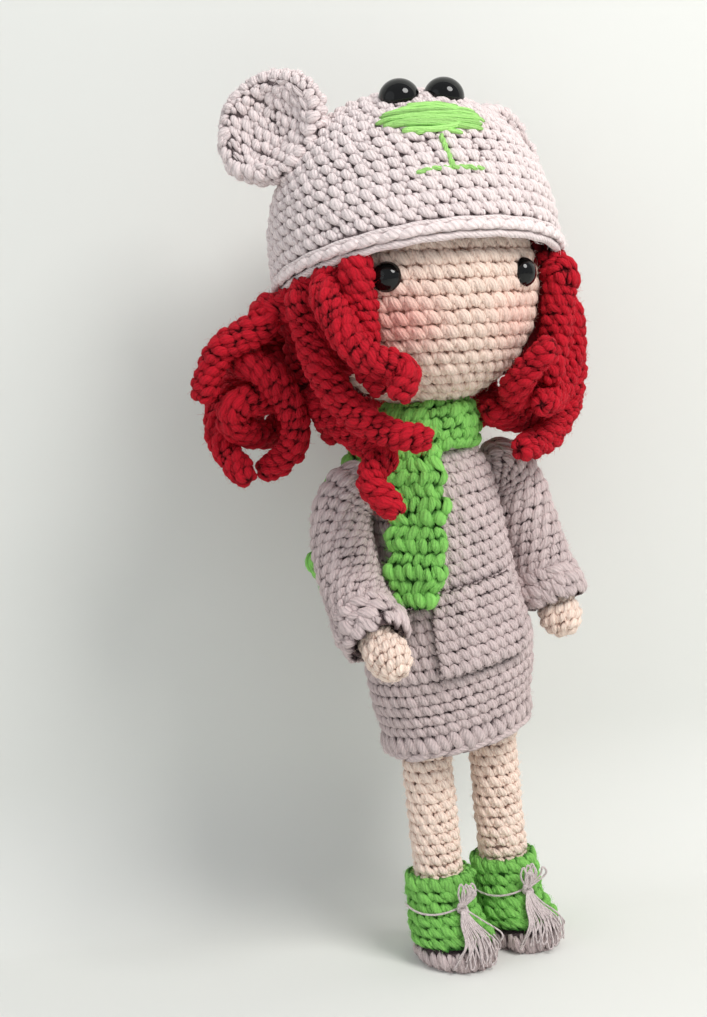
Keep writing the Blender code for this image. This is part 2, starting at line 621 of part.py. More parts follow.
def arm_route(shares, side):
    """A route given in shares of the arm's length, with the arm's own frame at the shoulder."""
    return [Vector((side * out, -forward, -down)) * ARM_LENGTH for out, forward, down in shares]


def shoulder_seat(radius, outwards):
    """Where a shoulder of this radius touches the sweater, so that it can swing against it."""
    side = sweater_axes(SHOULDER_HEIGHT - radius)[0] - sweater_axes(SHOULDER_HEIGHT - SLEEVE_RADIUS)[0]
    return outwards * side


def make_arm(name, side, shares, hand_share, parent, peach, mauve):
    """A stuffed arm with a round hand, in a sleeve with a rolled cuff."""
    line = smooth_route(arm_route(shares, side), 2)
    outwards = Vector((side, 0, 0))
    last = len(line) - 1
    core = SLEEVE_RADIUS - SLEEVE_WALL - SEAT_GAP
    outer, inner = [], []
    for k in range(len(line)):
        share = min(k / last, SLEEVE_outline_shares[-1][0])
        outer.append(SLEEVE_RADIUS * along_shares(SLEEVE_outline_shares, share)[0])
        inner.append(core + SEAT_GAP)
    outer[-3:] = [CUFF_RADIUS, CUFF_RADIUS, CUFF_RADIUS - SLEEVE_WALL / 3]
    outer_line = [shoulder_seat(0, outwards), shoulder_seat(outer[0], outwards)] + line[1:]
    sleeve = swept(outer_line, [0] + outer, LIMB_SIDES, outwards)
    sleeve += swept(line, inner, LIMB_SIDES, outwards)[:1:-1]
    skin(f"sleeve_{name}", sleeve, mauve, parent)
    wrist = line[-1]
    hand = arm_route([hand_share], side)[0]
    way = (hand - wrist).normalized()
    arm_line = list(line)
    radii = [core] * (len(line) - 2) + [core * 0.94, core * 0.86]
    tip = (hand - wrist).length + HAND_RADIUS
    for share, swell in ((0.10, 0.86), (0.30, 0.97), (0.52, 1.0), (0.75, 0.84), (0.92, 0.50), (1.0, 0)):
        arm_line.append(wrist + way * tip * share)
        radii.append(HAND_RADIUS * swell)
    arm = swept(arm_line, radii, LIMB_SIDES, outwards)[2:]
    start = (line[3] - line[2]).normalized() * SEAT_GAP
    arm[0] = [p + start for p in arm[0]]
    skin(f"arm_{name}", arm, peach, parent)


def sphere_profile(radius, start, stop, rings):
    """(radius, height) pairs on a sphere, between two angles from its bottom."""
    angles = between(start, stop, rings)
    return [(abs(radius * math.sin(a)) if a < math.pi - 1e-6 else 0, -radius * math.cos(a)) for a in angles]


def neck_angle(radius, opening):
    """How far round a sphere, from its bottom, a round opening reaches."""
    return math.asin(min(1, opening / radius))


def eye_matrix(side):
    """The seat of a face eye on the head, its Z axis pointing outwards."""
    azimuth = side * EYE_AZIMUTH - EYE_TURN
    rise = math.asin(EYE_RISE / HEAD_RADIUS)
    out = Vector((math.sin(azimuth) * math.cos(rise), -math.cos(azimuth) * math.cos(rise), math.sin(rise)))
    turn = out.to_track_quat("Z", "Y").to_matrix().to_4x4()
    return Matrix.Translation(Vector((0, 0, HEAD_RISE)) + out * (HEAD_RADIUS + SEAT_GAP)) @ turn


def eye_rings(radius, height, shank_length):
    """A domed button eye with its shank, from the shank's end to the top of the dome."""
    profile = [(SHANK_RADIUS, -shank_length), (SHANK_RADIUS, 0), (radius * 0.93, 0), (radius, height * 0.16)]
    for angle in between(math.radians(18), math.radians(90), 5):
        profile.append((radius * math.cos(angle) if angle < math.radians(89) else 0, height * math.sin(angle)))
    return turned(profile, SMALL_SIDES)


def washer_rings(top):
    """A washer round the shank, its upper face at a height below the eye's seat."""
    hole = SHANK_RADIUS + SEAT_GAP
    profile = [(hole, top), (WASHER_RADIUS, top)]
    profile += [(WASHER_RADIUS, top - WASHER_THICKNESS), (hole, top - WASHER_THICKNESS)]
    return turned(profile, SMALL_SIDES)


def make_head(parent, peach, fill, black, clear):
    """Crocheted head, its stuffing, and the two face eyes with their washers inside."""
    opening = NECK_RADIUS + SEAT_GAP
    outer = sphere_profile(HEAD_RADIUS, neck_angle(HEAD_RADIUS, opening), math.pi, HEAD_RINGS)
    inner_radius = HEAD_RADIUS - HEAD_WALL
    inner = sphere_profile(inner_radius, neck_angle(inner_radius, opening), math.pi, HEAD_RINGS)
    rings = turned([(r, h + HEAD_RISE) for r, h in outer + inner[::-1]], ROUND_SIDES)
    head = skin("head_shell", rings, peach, parent, loop=True)
    fill_radius = inner_radius - SEAT_GAP
    ball = sphere_profile(fill_radius, neck_angle(fill_radius, opening), math.pi, HEAD_RINGS)
    pocket = NECK_TOP + SEAT_GAP - HEAD_RISE
    profile = [(0, pocket), (opening, pocket)] + ball
    rings = turned([(r, h + HEAD_RISE) for r, h in profile], ROUND_SIDES)
    stuffing = skin("head_stuffing", rings, fill, parent)
    sag = inner_radius - math.sqrt(max(0, inner_radius**2 - WASHER_RADIUS**2))
    seat = -(HEAD_WALL + sag + FACET_GAP * 2)
    for side, name in ((-1, "right"), (1, "left")):
        place = frame(f"face_eye_seat_{name}", parent, eye_matrix(side))
        skin(f"face_eye_{name}", eye_rings(FACE_EYE_RADIUS, FACE_EYE_HEIGHT, SHANK_LENGTH), black, place)
        skin(f"face_eye_washer_{name}", washer_rings(seat), clear, place, loop=True)
        reach = SHANK_LENGTH + SEAT_GAP
        hole = SHANK_RADIUS + SEAT_GAP
        bore = cutter(f"eye_bore_{name}", turned([(hole, -reach), (hole, CUT_OVERRUN)], SMALL_SIDES), place)
        cut(head, bore)
        room = WASHER_RADIUS + SEAT_GAP
        well = cutter(f"eye_well_{name}", turned([(room, -reach), (room, CUT_OVERRUN)], SMALL_SIDES), place)
        cut(stuffing, well)


def make_wig(parent, red):
    """The cap that the strands hang from, under the hat."""
    low = math.pi / 2 + math.asin(BRIM_LIFT / WIG_INNER)
    outer_low = math.pi / 2 + math.asin(BRIM_LIFT / WIG_OUTER)
    inner = sphere_profile(WIG_INNER, low, math.pi, HEAD_RINGS // 2 + 1)
    outer = sphere_profile(WIG_OUTER, outer_low, math.pi, HEAD_RINGS // 2 + 1)
    skin("wig_cap", turned(outer + inner[::-1], ROUND_SIDES), red, parent, loop=True)


def strand_line(azimuth, shares, to_head):
    """Centre line of one strand in the head's frame: down from the brim, then along its route."""
    root = Vector((-STRAND_RING * math.sin(azimuth), -STRAND_RING * math.cos(azimuth), BRIM_LIFT - SEAT_GAP))
    start = to_head @ root
    down = (to_head.to_3x3() @ Vector((0, 0, -1))).normalized()
    first = start + down * STRAND_RADIUS * 0.8
    return [start, first] + [first + Vector(step) * HAIR_LENGTH for step in shares], down


def gaps_to_itself(line, radii):
    """Gaps that a tube leaves to itself, between points more than half a turn of its own width apart."""
    gaps = []
    for j, start in enumerate(line):
        way = 0
        for k in range(j + 1, len(line)):
            way += (line[k] - line[k - 1]).length
            if way > math.pi * (radii[j] + radii[k]) / 2:
                gaps.append((line[k] - start).length - radii[j] - radii[k])
    return gaps


def make_strands(parent, to_head, red):
    """Nine hanging strands on each side, from the hairline round to the back."""
    gaps = []
    spread = 2 * (math.pi - HAIRLINE_ANGLE) / (2 * STRANDS_PER_SIDE - 1)
    sides = (("right", 1, RIGHT_STRAND_shares), ("left", -1, LEFT_STRAND_shares))
    for name, side, table in sides:
        for k in range(STRANDS_PER_SIDE):
            azimuth = side * (HAIRLINE_ANGLE + spread * k) - HAIR_TURN
            line, down = strand_line(azimuth, table[k], to_head)
            end, way = line[-1], (line[-1] - line[-2]).normalized()
            past = [max(0, j / (len(line) - 1) - STRAND_TAPER_START_share) for j in range(len(line))]
            narrowing = STRAND_TAPER_share / (1 - STRAND_TAPER_START_share)
            radii = [STRAND_RADIUS * (1 - narrowing * reach) for reach in past]
            tip = radii[-1]
            for along, swell in ((0.55, 0.84), (0.9, 0.45), (1.0, 0)):
                line.append(end + way * tip * along)
                radii.append(tip * swell)
            gaps += gaps_to_itself(line, radii)
            rings = swept(line, radii, STRAND_SIDES, down)
            skin(f"hair_strand_{name}_{k + 1}", rings, red, parent)
    print(f"least gap of a strand to itself, in metres: {min(gaps):.5f}")


def hat_profile(radius, crown, base):
    """(radius, height) pairs up the crown."""
    return [(radius * r, base + crown * h) for h, r in HAT_outline_shares]


def hat_surface(azimuth, share, lift=0):
    """A point on the crown's outside and its outward direction."""
    def at(s):
        return along_shares(HAT_outline_shares, s)[0] * HAT_RADIUS, BRIM_LIFT + HAT_CROWN * s
    radius, height = at(share)
    step = 0.01
    above, below = at(min(1, share + step)), at(share - step)
    slope = Vector((above[1] - below[1], below[0] - above[0])).normalized()
    out = Vector((-math.sin(azimuth) * slope.x, -math.cos(azimuth) * slope.x, slope.y))
    place = Vector((-radius * math.sin(azimuth), -radius * math.cos(azimuth), height))
    return place + out * lift, out


def seat_matrix(place, out):
    """A seat with its Z axis along out and its X axis level."""
    across = Vector((0, 0, 1)).cross(out).normalized()
    up = out.cross(across)
    turn = Matrix((across, up, out)).transposed().to_4x4()
    return Matrix.Translation(place) @ turn


def make_ear(name, shares, parent, crown, colour):
    """A cupped disc whose lower edge is cut to the crown."""
    azimuth, share, turn = shares
    height = BRIM_LIFT + HAT_CROWN * share
    place = Vector((-EAR_STAND * math.sin(azimuth), -EAR_STAND * math.cos(azimuth), height))
    facing = Vector((-math.sin(turn), -math.cos(turn), 0.12)).normalized()
    seat = frame(f"hat_ear_seat_{name}", parent, seat_matrix(place, facing))
    half = EAR_THICKNESS / 2
    back = [(0, -half), (EAR_RADIUS * 0.55, -half * 0.95), (EAR_RADIUS * 0.9, -half * 0.45)]
    back += [(EAR_RADIUS, half * 0.2)]
    front = [(EAR_RADIUS * 0.93, half * 0.9), (EAR_RADIUS * 0.78, half)]
    front += [(EAR_RADIUS * 0.55, half - EAR_CUP * 0.6)]
    front += [(EAR_RADIUS * 0.28, half - EAR_CUP * 0.93), (0, half - EAR_CUP)]
    ear = skin(f"hat_ear_{name}", turned(back + front, ROUND_SIDES - 8), colour, seat)
    cut(ear, crown)


def patch_rings(width, height, thickness, rings):
    """A domed oval patch, flat behind, in its seat's frame."""
    made = [[Vector((0, 0, 0))]]
    for k in range(1, rings + 1):
        t = k / rings
        made.append(flat_ring(width / 2 * t, height / 2 * t, 0, SMALL_SIDES))
    for k in range(rings, 0, -1):
        t = k / rings * 0.96
        dome = thickness * math.sqrt(1 - (t * 0.9) ** 2)
        made.append(flat_ring(width / 2 * t, height / 2 * t, dome, SMALL_SIDES))
    made.append([Vector((0, 0, thickness))])
    return made


def bent_to_crown(rings, share):
    """Wrap a patch drawn flat at the bear's front round the crown, keeping its thickness."""
    def onto(point):
        radius = along_shares(HAT_outline_shares, share)[0] * HAT_RADIUS
        rise = share + point.y / HAT_CROWN
        place, out = hat_surface(-point.x / radius, rise, FACET_GAP + point.z)
        return place
    return [[onto(p) for p in points] for points in rings]


def make_hat(parent, pale, green, black, clear):
    """The hat's crown, ears, eyes with washers, satin-stitched nose and mouth."""
    outer = hat_profile(HAT_RADIUS, HAT_CROWN, BRIM_LIFT)
    inner = hat_profile(HAT_INNER, HAT_CROWN - HAT_WALL, BRIM_LIFT)
    inner[0] = (HAT_INNER, BRIM_LIFT)
    inner[1] = (HAT_INNER, inner[1][1])
    hat = skin("hat", turned(outer + inner[::-1], ROUND_SIDES + 8), pale, parent, loop=True)
    grown = [(r + SEAT_GAP * 1.2 if r > 0 else 0, h + SEAT_GAP) for r, h in outer]
    crown = cutter("crown_cutter", turned([(0, BRIM_LIFT)] + grown, ROUND_SIDES + 8), parent)
    make_ear("right", RIGHT_EAR_shares, parent, crown, pale)
    make_ear("left", LEFT_EAR_shares, parent, crown, pale)
    radius_there = along_shares(HAT_outline_shares, HAT_EYE_height_share)[0] * HAT_RADIUS
    for side, name in ((1, "right"), (-1, "left")):
        azimuth = HAT_EYE_TURN + side * math.asin(min(0.9, HAT_EYE_SPACING / 2 / radius_there))
        place, out = hat_surface(azimuth, HAT_EYE_height_share, SEAT_GAP)
        seat = frame(f"hat_eye_seat_{name}", parent, seat_matrix(place, out))
        skin(f"hat_eye_{name}", eye_rings(HAT_EYE_RADIUS, HAT_EYE_HEIGHT, SHANK_LENGTH), black, seat)
        top = -(HAT_WALL + 6 * SEAT_GAP)
        skin(f"hat_eye_washer_{name}", washer_rings(top), clear, seat, loop=True)
        hole = SHANK_RADIUS + SEAT_GAP
        reach = SHANK_LENGTH + SEAT_GAP
        rings = turned([(hole, -reach), (hole, CUT_OVERRUN)], SMALL_SIDES)
        cut(hat, cutter(f"hat_eye_bore_{name}", rings, seat))
    nose = patch_rings(NOSE_WIDTH, NOSE_HEIGHT, NOSE_THICKNESS, 4)
    skin("hat_nose", bent_to_crown(nose, NOSE_height_share), green, parent)
    top_share = NOSE_height_share - (NOSE_HEIGHT / 2 + SEAT_GAP + MOUTH_THREAD / 2) / HAT_CROWN
    half = MOUTH_THREAD / 2
    wing_height = -MOUTH_DROP
    outline = [
        (-half, 0), (half, 0), (half, wing_height + half),
        (MOUTH_WIDTH * 0.25, wing_height + half), (MOUTH_WIDTH / 2, wing_height - half),
        (MOUTH_WIDTH * 0.25, wing_height - half), (0, wing_height - half),
        (-MOUTH_WIDTH * 0.25, wing_height - half), (-MOUTH_WIDTH / 2, wing_height - half),
        (-MOUTH_WIDTH * 0.25, wing_height + half), (-half, wing_height + half),
    ]
    make_mouth(outline, top_share, parent, green)


def make_mouth(outline, share, parent, green):
    """The mouth's thread: an upright and two wings, as one thin raised outline."""
    back = [Vector((x, y, 0)) for x, y in outline]
    face = [Vector((x, y, MOUTH_THREAD)) for x, y in outline]
    bent = bent_to_crown([back, face], share)
    bm = bmesh.new()
    low, high = [[bm.verts.new(p) for p in points] for points in bent]
    count = len(outline)
    for k in range(count):
        bm.faces.new((low[k], low[(k + 1) % count], high[(k + 1) % count], high[k]))
    wings = ((0, 1, 2, 10), (2, 3, 5, 6), (3, 4, 5), (2, 6, 10), (6, 7, 9, 10), (7, 8, 9))
    for wing in wings:
        bm.faces.new([high[k] for k in wing])
        bm.faces.new([low[k] for k in reversed(wing)])
    bmesh.ops.recalc_face_normals(bm, faces=bm.faces)
    mesh = bpy.data.meshes.new("hat_mouth")
    bm.to_mesh(mesh)
    bm.free()
    mesh.materials.append(green)
    piece = bpy.data.objects.new("hat_mouth", mesh)
    bpy.context.collection.objects.link(piece)
    piece.parent = parent


def wrap_profile(grow=0):
    """Section of the scarf's turn round the neck, resting on the sweater's shoulders."""
    inner = NECK_RADIUS + SCARF_FIT - grow
    base = SWEATER_TOP + SEAT_GAP * 2
    outer = SCARF_WRAP_RADIUS + grow
    mid = (inner + outer) / 2
    return [
        (inner, base - grow), (mid, base - grow), (outer * 0.96, base - SCARF_WRAP_DROP * 0.35 - grow),
        (outer, base + SCARF_WRAP_HEIGHT * 0.25), (outer * 0.97, base + SCARF_WRAP_HEIGHT * 0.62),
        (mid, base + SCARF_WRAP_HEIGHT + grow), (inner, base + SCARF_WRAP_HEIGHT * 0.9 + grow),
    ]


def tail_rings(line, facing, length_share_rows, width, thickness):
    """A flat strip along a line, its edges waving with the rows of stitches."""
    rings = []
    ways = tangents(line)
    for k, (point, way) in enumerate(zip(line, ways)):
        across = way.cross(facing[k]).normalized()
        depth = across.cross(way).normalized()
        wave = SCARF_WAVE * math.cos(math.pi * k)
        taper = length_share_rows[k]
        half = (width / 2 + wave) * taper
        deep = thickness / 2
        corners = [(-half, -deep * 0.55), (-half * 0.8, -deep), (half * 0.8, -deep), (half, -deep * 0.55)]
        corners += [(half, deep * 0.55), (half * 0.8, deep), (-half * 0.8, deep), (-half, deep * 0.55)]
        rings.append([point + across * a + depth * b for a, b in corners])
    return rings


def make_scarf(parent, front_place, back_place, green):
    """One turn round the neck and two hanging tails."""
    skin("scarf_wrap", turned(wrap_profile(), ROUND_SIDES), green, parent, loop=True)
    grown = cutter("wrap_cutter", turned([(0, SWEATER_TOP)] + wrap_profile(FACET_GAP + SEAT_GAP)[1:-1]
                                         + [(0, SWEATER_TOP + SCARF_WRAP_HEIGHT)], ROUND_SIDES), parent)
    rows = 11
    wide, deep = sweater_axes(SWEATER_BOTTOM + POCKET_HEIGHT * 0.75)
    angle = SCARF_FRONT_ANGLE + SCARF_FRONT_DRIFT
    reach = 1 / math.hypot(math.sin(angle) / wide, math.cos(angle) / deep)
    low = reach + FACET_GAP + SCARF_THICKNESS / 2 + POCKET_WALL
    high = SCARF_WRAP_RADIUS + SEAT_GAP * 2
    top = SWEATER_TOP
    line, facing = [], []
    for k in range(rows):
        t = k / (rows - 1)
        angle = SCARF_FRONT_ANGLE + SCARF_FRONT_DRIFT * t
        facing.append(Vector((-math.sin(angle), -math.cos(angle), 0)))
        line.append(facing[k] * (high + (low - high) * t**0.7) + Vector((0, 0, top - SCARF_FRONT_LENGTH * t)))
    taper = [0.62, 0.84, 0.95] + [1] * (rows - 5) + [0.92, 0.45]
    rings = tail_rings(line, facing, taper, SCARF_WIDTH, SCARF_THICKNESS)
    front_frame = frame("scarf_front_frame", parent, Matrix.Translation(front_place))
    tail = skin("scarf_tail_front", [[p - front_place for p in points] for points in rings], green, front_frame)
    cut(tail, grown)
    clear = SHOULDER_SETBACK + SLEEVE_RADIUS + SEAT_GAP * 4 + SCARF_THICKNESS / 2
    shoulder_x = sweater_axes(SHOULDER_HEIGHT - SLEEVE_RADIUS)[0]
    start = Vector((-SCARF_WRAP_RADIUS * 0.66, SCARF_WRAP_RADIUS * 0.86, top + SCARF_WRAP_HEIGHT * 0.25))
    over = Vector((-shoulder_x * 0.92, clear, top - SCARF_BACK_LENGTH * 0.28))
    below = Vector((-shoulder_x - SLEEVE_RADIUS * 0.78, clear, top - SCARF_BACK_LENGTH * 0.62))
    end = Vector((-shoulder_x - SLEEVE_RADIUS * 0.94, clear, top - SCARF_BACK_LENGTH))
    line = smooth_route([start, over, below, end], 4)
    taper = [0.45, 0.55, 0.68, 0.82] + [1] * (len(line) - 6) + [0.9, 0.45]
    rings = tail_rings(line, [Vector((0, 1, 0))] * len(line), taper, SCARF_WIDTH, SCARF_THICKNESS)
    back_frame = frame("scarf_back_frame", parent, Matrix.Translation(back_place))
    tail = skin("scarf_tail_back", [[p - back_place for p in points] for points in rings], green, back_frame)
    cut(tail, grown)


def centre_on_ground(root):
    """Slide the doll so that its box is centred on the origin, its soles at z = 0."""
    bpy.context.view_layer.update()
    graph = bpy.context.evaluated_depsgraph_get()
    low = Vector((math.inf, math.inf))
    high = -low
    for piece in bpy.data.objects:
        if piece.type != "MESH" or piece.hide_render:
            continue
        shaped = piece.evaluated_get(graph)
        for corner in shaped.data.vertices:
            place = shaped.matrix_world @ corner.co
            low = Vector((min(low.x, place.x), min(low.y, place.y)))
            high = Vector((max(high.x, place.x), max(high.y, place.y)))
    middle = (low + high) / 2
    root.location = (-middle.x, -middle.y, 0)
    bpy.context.view_layer.update()


def main():
    """Build the whole doll."""
    clear_scene()
    peach = material("peach_yarn", YARN_PEACH)
    mauve = material("mauve_yarn", YARN_MAUVE)
    pale = material("pale_mauve_yarn", YARN_PALE)
    red = material("red_yarn", YARN_RED)
    green = material("green_yarn", YARN_GREEN)
    fill = material("fibrefill", FIBREFILL)
    black = material("black_gloss", BLACK_GLOSS)
    clear = material("clear_washer", CLEAR_WASHER)

    root = frame("doll", None, Matrix.Identity(4))
    head_matrix = Matrix.Translation((0, 0, NECK_PIVOT)) @ Matrix.Rotation(HEAD_TILT, 4, "Y")
    head_frame = frame("head_frame", root, head_matrix)
    to_head = Matrix.Translation((0, 0, HEAD_RISE)) @ Matrix.Rotation(-HAT_TILT, 4, "X")
    wig_frame = frame("wig_frame", head_frame, to_head)
    hat_frame = frame("hat_frame", wig_frame, Matrix.Rotation(-HAT_TURN, 4, "Z"))

    for side, name in ((-1, "right"), (1, "left")):
        boot_frame = frame(f"boot_frame_{name}", root, Matrix.Translation((side * LEG_SPACING / 2, 0, 0)))
        make_boot(name, boot_frame, green, mauve)
        leg_frame = frame(f"leg_frame_{name}", root, Matrix.Translation((side * LEG_SPACING / 2, 0, 0)))
        make_leg(name, leg_frame, peach)
    make_trunk(root, head_matrix, peach)
    make_clothes(root, mauve)
    shoulder_x = sweater_axes(SHOULDER_HEIGHT - SLEEVE_RADIUS)[0] + SEAT_GAP
    arms = (("right", -1, RIGHT_ARM_shares, RIGHT_HAND_share), ("left", 1, LEFT_ARM_shares, LEFT_HAND_share))
    for name, side, shares, hand_share in arms:
        place = Matrix.Translation((side * shoulder_x, SHOULDER_SETBACK, SHOULDER_HEIGHT))
        make_arm(name, side, shares, hand_share, frame(f"arm_frame_{name}", root, place), peach, mauve)
    make_head(head_frame, peach, fill, black, clear)
    make_wig(wig_frame, red)
    make_strands(head_frame, to_head, red)
    make_hat(hat_frame, pale, green, black, clear)
    out = Vector((-math.sin(SCARF_FRONT_ANGLE), -math.cos(SCARF_FRONT_ANGLE), 0)) * SCARF_WRAP_RADIUS
    behind = SHOULDER_SETBACK + SLEEVE_RADIUS
    front_place = Vector((out.x, out.y, SWEATER_TOP))
    back_place = Vector((-shoulder_x / 2, behind, SWEATER_TOP + SCARF_WRAP_HEIGHT * SCARF_BACK_PIVOT_share))
    make_scarf(root, front_place, back_place, green)
    centre_on_ground(root)


main()
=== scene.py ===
import math

import bpy
import numpy as np
from mathutils import Matrix, Vector


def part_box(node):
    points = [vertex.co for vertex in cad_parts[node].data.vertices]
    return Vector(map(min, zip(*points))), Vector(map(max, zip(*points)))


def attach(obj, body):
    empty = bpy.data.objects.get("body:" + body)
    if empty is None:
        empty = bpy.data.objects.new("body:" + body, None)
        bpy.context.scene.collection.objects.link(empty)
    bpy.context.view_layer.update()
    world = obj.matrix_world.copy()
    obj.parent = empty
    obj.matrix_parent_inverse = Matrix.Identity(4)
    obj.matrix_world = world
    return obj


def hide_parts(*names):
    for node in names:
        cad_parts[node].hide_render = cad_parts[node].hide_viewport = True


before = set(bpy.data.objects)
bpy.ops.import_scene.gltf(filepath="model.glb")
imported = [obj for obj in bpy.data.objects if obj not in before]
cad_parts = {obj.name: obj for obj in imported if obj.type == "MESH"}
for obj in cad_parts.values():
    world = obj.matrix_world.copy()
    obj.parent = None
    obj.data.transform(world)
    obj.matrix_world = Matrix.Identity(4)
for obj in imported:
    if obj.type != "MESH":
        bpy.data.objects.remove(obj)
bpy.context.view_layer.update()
MM = 0.001
PI = math.pi

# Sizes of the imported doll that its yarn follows
LEG_SPACING, BOOT_HEIGHT, BOOT_WALL = 0.0246, 0.0285, 0.0029
SOLE_LENGTH, SOLE_WIDTH, HEEL_SETBACK = 0.0340, 0.0238, 0.0112
SOLE_HEEL_HEIGHT, SOLE_TOE_HEIGHT = 0.0040, 0.0078
LEG_RADIUS, LEG_LENGTH, HIP_CLEARANCE, NECK_RADIUS, NECK_REVEAL = 0.0073, 0.0690, 0.0036, 0.0085, 0.0040
SKIRT_LENGTH, SKIRT_WIDTH, SKIRT_DEPTH, SKIRT_WALL, SKIRT_TUCK = 0.0300, 0.0550, 0.0442, 0.0030, 0.0046
SWEATER_HEIGHT, SWEATER_WIDTH, SWEATER_DEPTH, SWEATER_WALL = 0.0710, 0.0556, 0.0464, 0.0030
POCKET_WIDTH, POCKET_HEIGHT, POCKET_WALL, POCKET_RISE = 0.0310, 0.0250, 0.0028, 0.0014
SHOULDER_HEIGHT_IN_SWEATER, SHOULDER_SETBACK, ARM_LENGTH = 0.0600, 0.0020, 0.0600
SLEEVE_RADIUS, SLEEVE_WALL, CUFF_RADIUS, HAND_RADIUS = 0.0094, 0.0029, 0.0106, 0.0067
HEAD_RADIUS, HEAD_WALL, CHIN_CLEARANCE, HEAD_TILT = 0.0360, 0.0030, 0.0074, math.radians(4)
EYE_AZIMUTH, EYE_TURN, EYE_RISE = math.radians(38), math.radians(6.8), 0.0036
FACE_EYE_RADIUS, FACE_EYE_HEIGHT = 0.0046, 0.0039
SHANK_RADIUS, SHANK_LENGTH = 0.0014, 0.0085
WIG_FIT, WIG_WALL, STRAND_RADIUS, HAIR_LENGTH = 0.0011, 0.0045, 0.0046, 0.0600
HAIRLINE_ANGLE, HAIR_TURN, STRANDS_PER_SIDE = math.radians(56), math.radians(1), 9
HAT_WALL, HAT_CROWN, BRIM_LIFT = 0.0034, 0.0580, 0.0036
HAT_TILT, HAT_TURN = math.radians(15), math.radians(11)
EAR_RADIUS, EAR_THICKNESS, EAR_CUP, EAR_STAND = 0.0182, 0.0070, 0.0034, 0.0408
HAT_EYE_RADIUS, HAT_EYE_HEIGHT, HAT_EYE_SPACING = 0.0063, 0.0058, 0.0148
NOSE_WIDTH, NOSE_HEIGHT, NOSE_THICKNESS = 0.0330, 0.0122, 0.0026
MOUTH_DROP, MOUTH_WIDTH, MOUTH_THREAD = 0.0108, 0.0200, 0.0016
SCARF_WRAP_RADIUS, SCARF_WRAP_DROP, SCARF_WRAP_HEIGHT = 0.0162, 0.0052, 0.0110
SCARF_WIDTH, SCARF_THICKNESS, SCARF_FRONT_LENGTH, SCARF_BACK_LENGTH = 0.0170, 0.0044, 0.0480, 0.0460
SCARF_FRONT_ANGLE, SCARF_FRONT_DRIFT = math.radians(40), math.radians(4)
GAP = 0.0003

# How deep the skins that carry the yarn lie under the solids' faces
SINK, DEEP_SINK, GROUND = 0.0008, 0.0009, 0.0003
# Loose fibres: how many a square millimetre, how long and wide, and the most triangles of a piece with them
FUZZ, FIBRE_LENGTH, FIBRE_WIDTH, MOST_TRIANGLES = 0.5, 2.4 * MM, 0.075 * MM, 190000
# The front tail of the scarf drifts this many times further to the side than its solid
FURTHER_DRIFT = 1.8

# Outlines, as shares of the sizes above
SWEATER_OUTLINE = [
    (0.000, 1.000, 1.000), (0.070, 0.995, 0.995), (0.170, 0.930, 0.935), (0.350, 0.855, 0.865),
    (0.560, 0.785, 0.795), (0.700, 0.750, 0.720), (0.810, 0.705, 0.640), (0.895, 0.615, 0.555),
    (0.955, 0.515, 0.520), (1.000, 0.425, 0.510),
]
SKIRT_OUTLINE = [
    (0.000, 0.880, 0.880), (0.070, 0.892, 0.890), (0.270, 0.908, 0.905), (0.600, 0.985, 0.980),
    (0.780, 1.000, 1.000),
]
HAT_OUTLINE = [
    (0.000, 0.985), (0.045, 1.018), (0.105, 1.000), (0.260, 0.995), (0.430, 0.955), (0.590, 0.875),
    (0.725, 0.765), (0.845, 0.610), (0.930, 0.420), (0.983, 0.200), (1.000, 0.000),
]
BOOT_OUTLINE = [
    (0.17, 0.05, 0.00, 0.00), (0.33, 0.02, 0.02, 0.00), (0.50, 0.25, 0.20, 0.10), (0.66, 0.60, 0.52, 0.45),
    (0.82, 0.90, 0.82, 0.80), (0.93, 1.00, 0.97, 0.97),
]
RIGHT_ARM = [
    (0.000, 0.000, 0.000), (0.090, 0.000, 0.012), (0.180, 0.000, 0.120), (0.222, 0.050, 0.300),
    (0.245, 0.183, 0.533), (0.250, 0.385, 0.745),
]
LEFT_ARM = [
    (0.000, 0.000, 0.000), (0.090, 0.000, 0.012), (0.170, 0.000, 0.120), (0.205, 0.033, 0.317),
    (0.242, 0.090, 0.567), (0.268, 0.155, 0.775),
]
RIGHT_HAND, LEFT_HAND = (0.232, 0.470, 0.832), (0.275, 0.182, 0.866)
RIGHT_EAR = math.radians(84), 0.88, math.radians(40)
LEFT_EAR = math.radians(-104), 0.70, math.radians(-40)
NOSE_SHARE, HAT_EYE_SHARE, HAT_EYE_TURN = 0.660, 0.855, math.radians(-4)

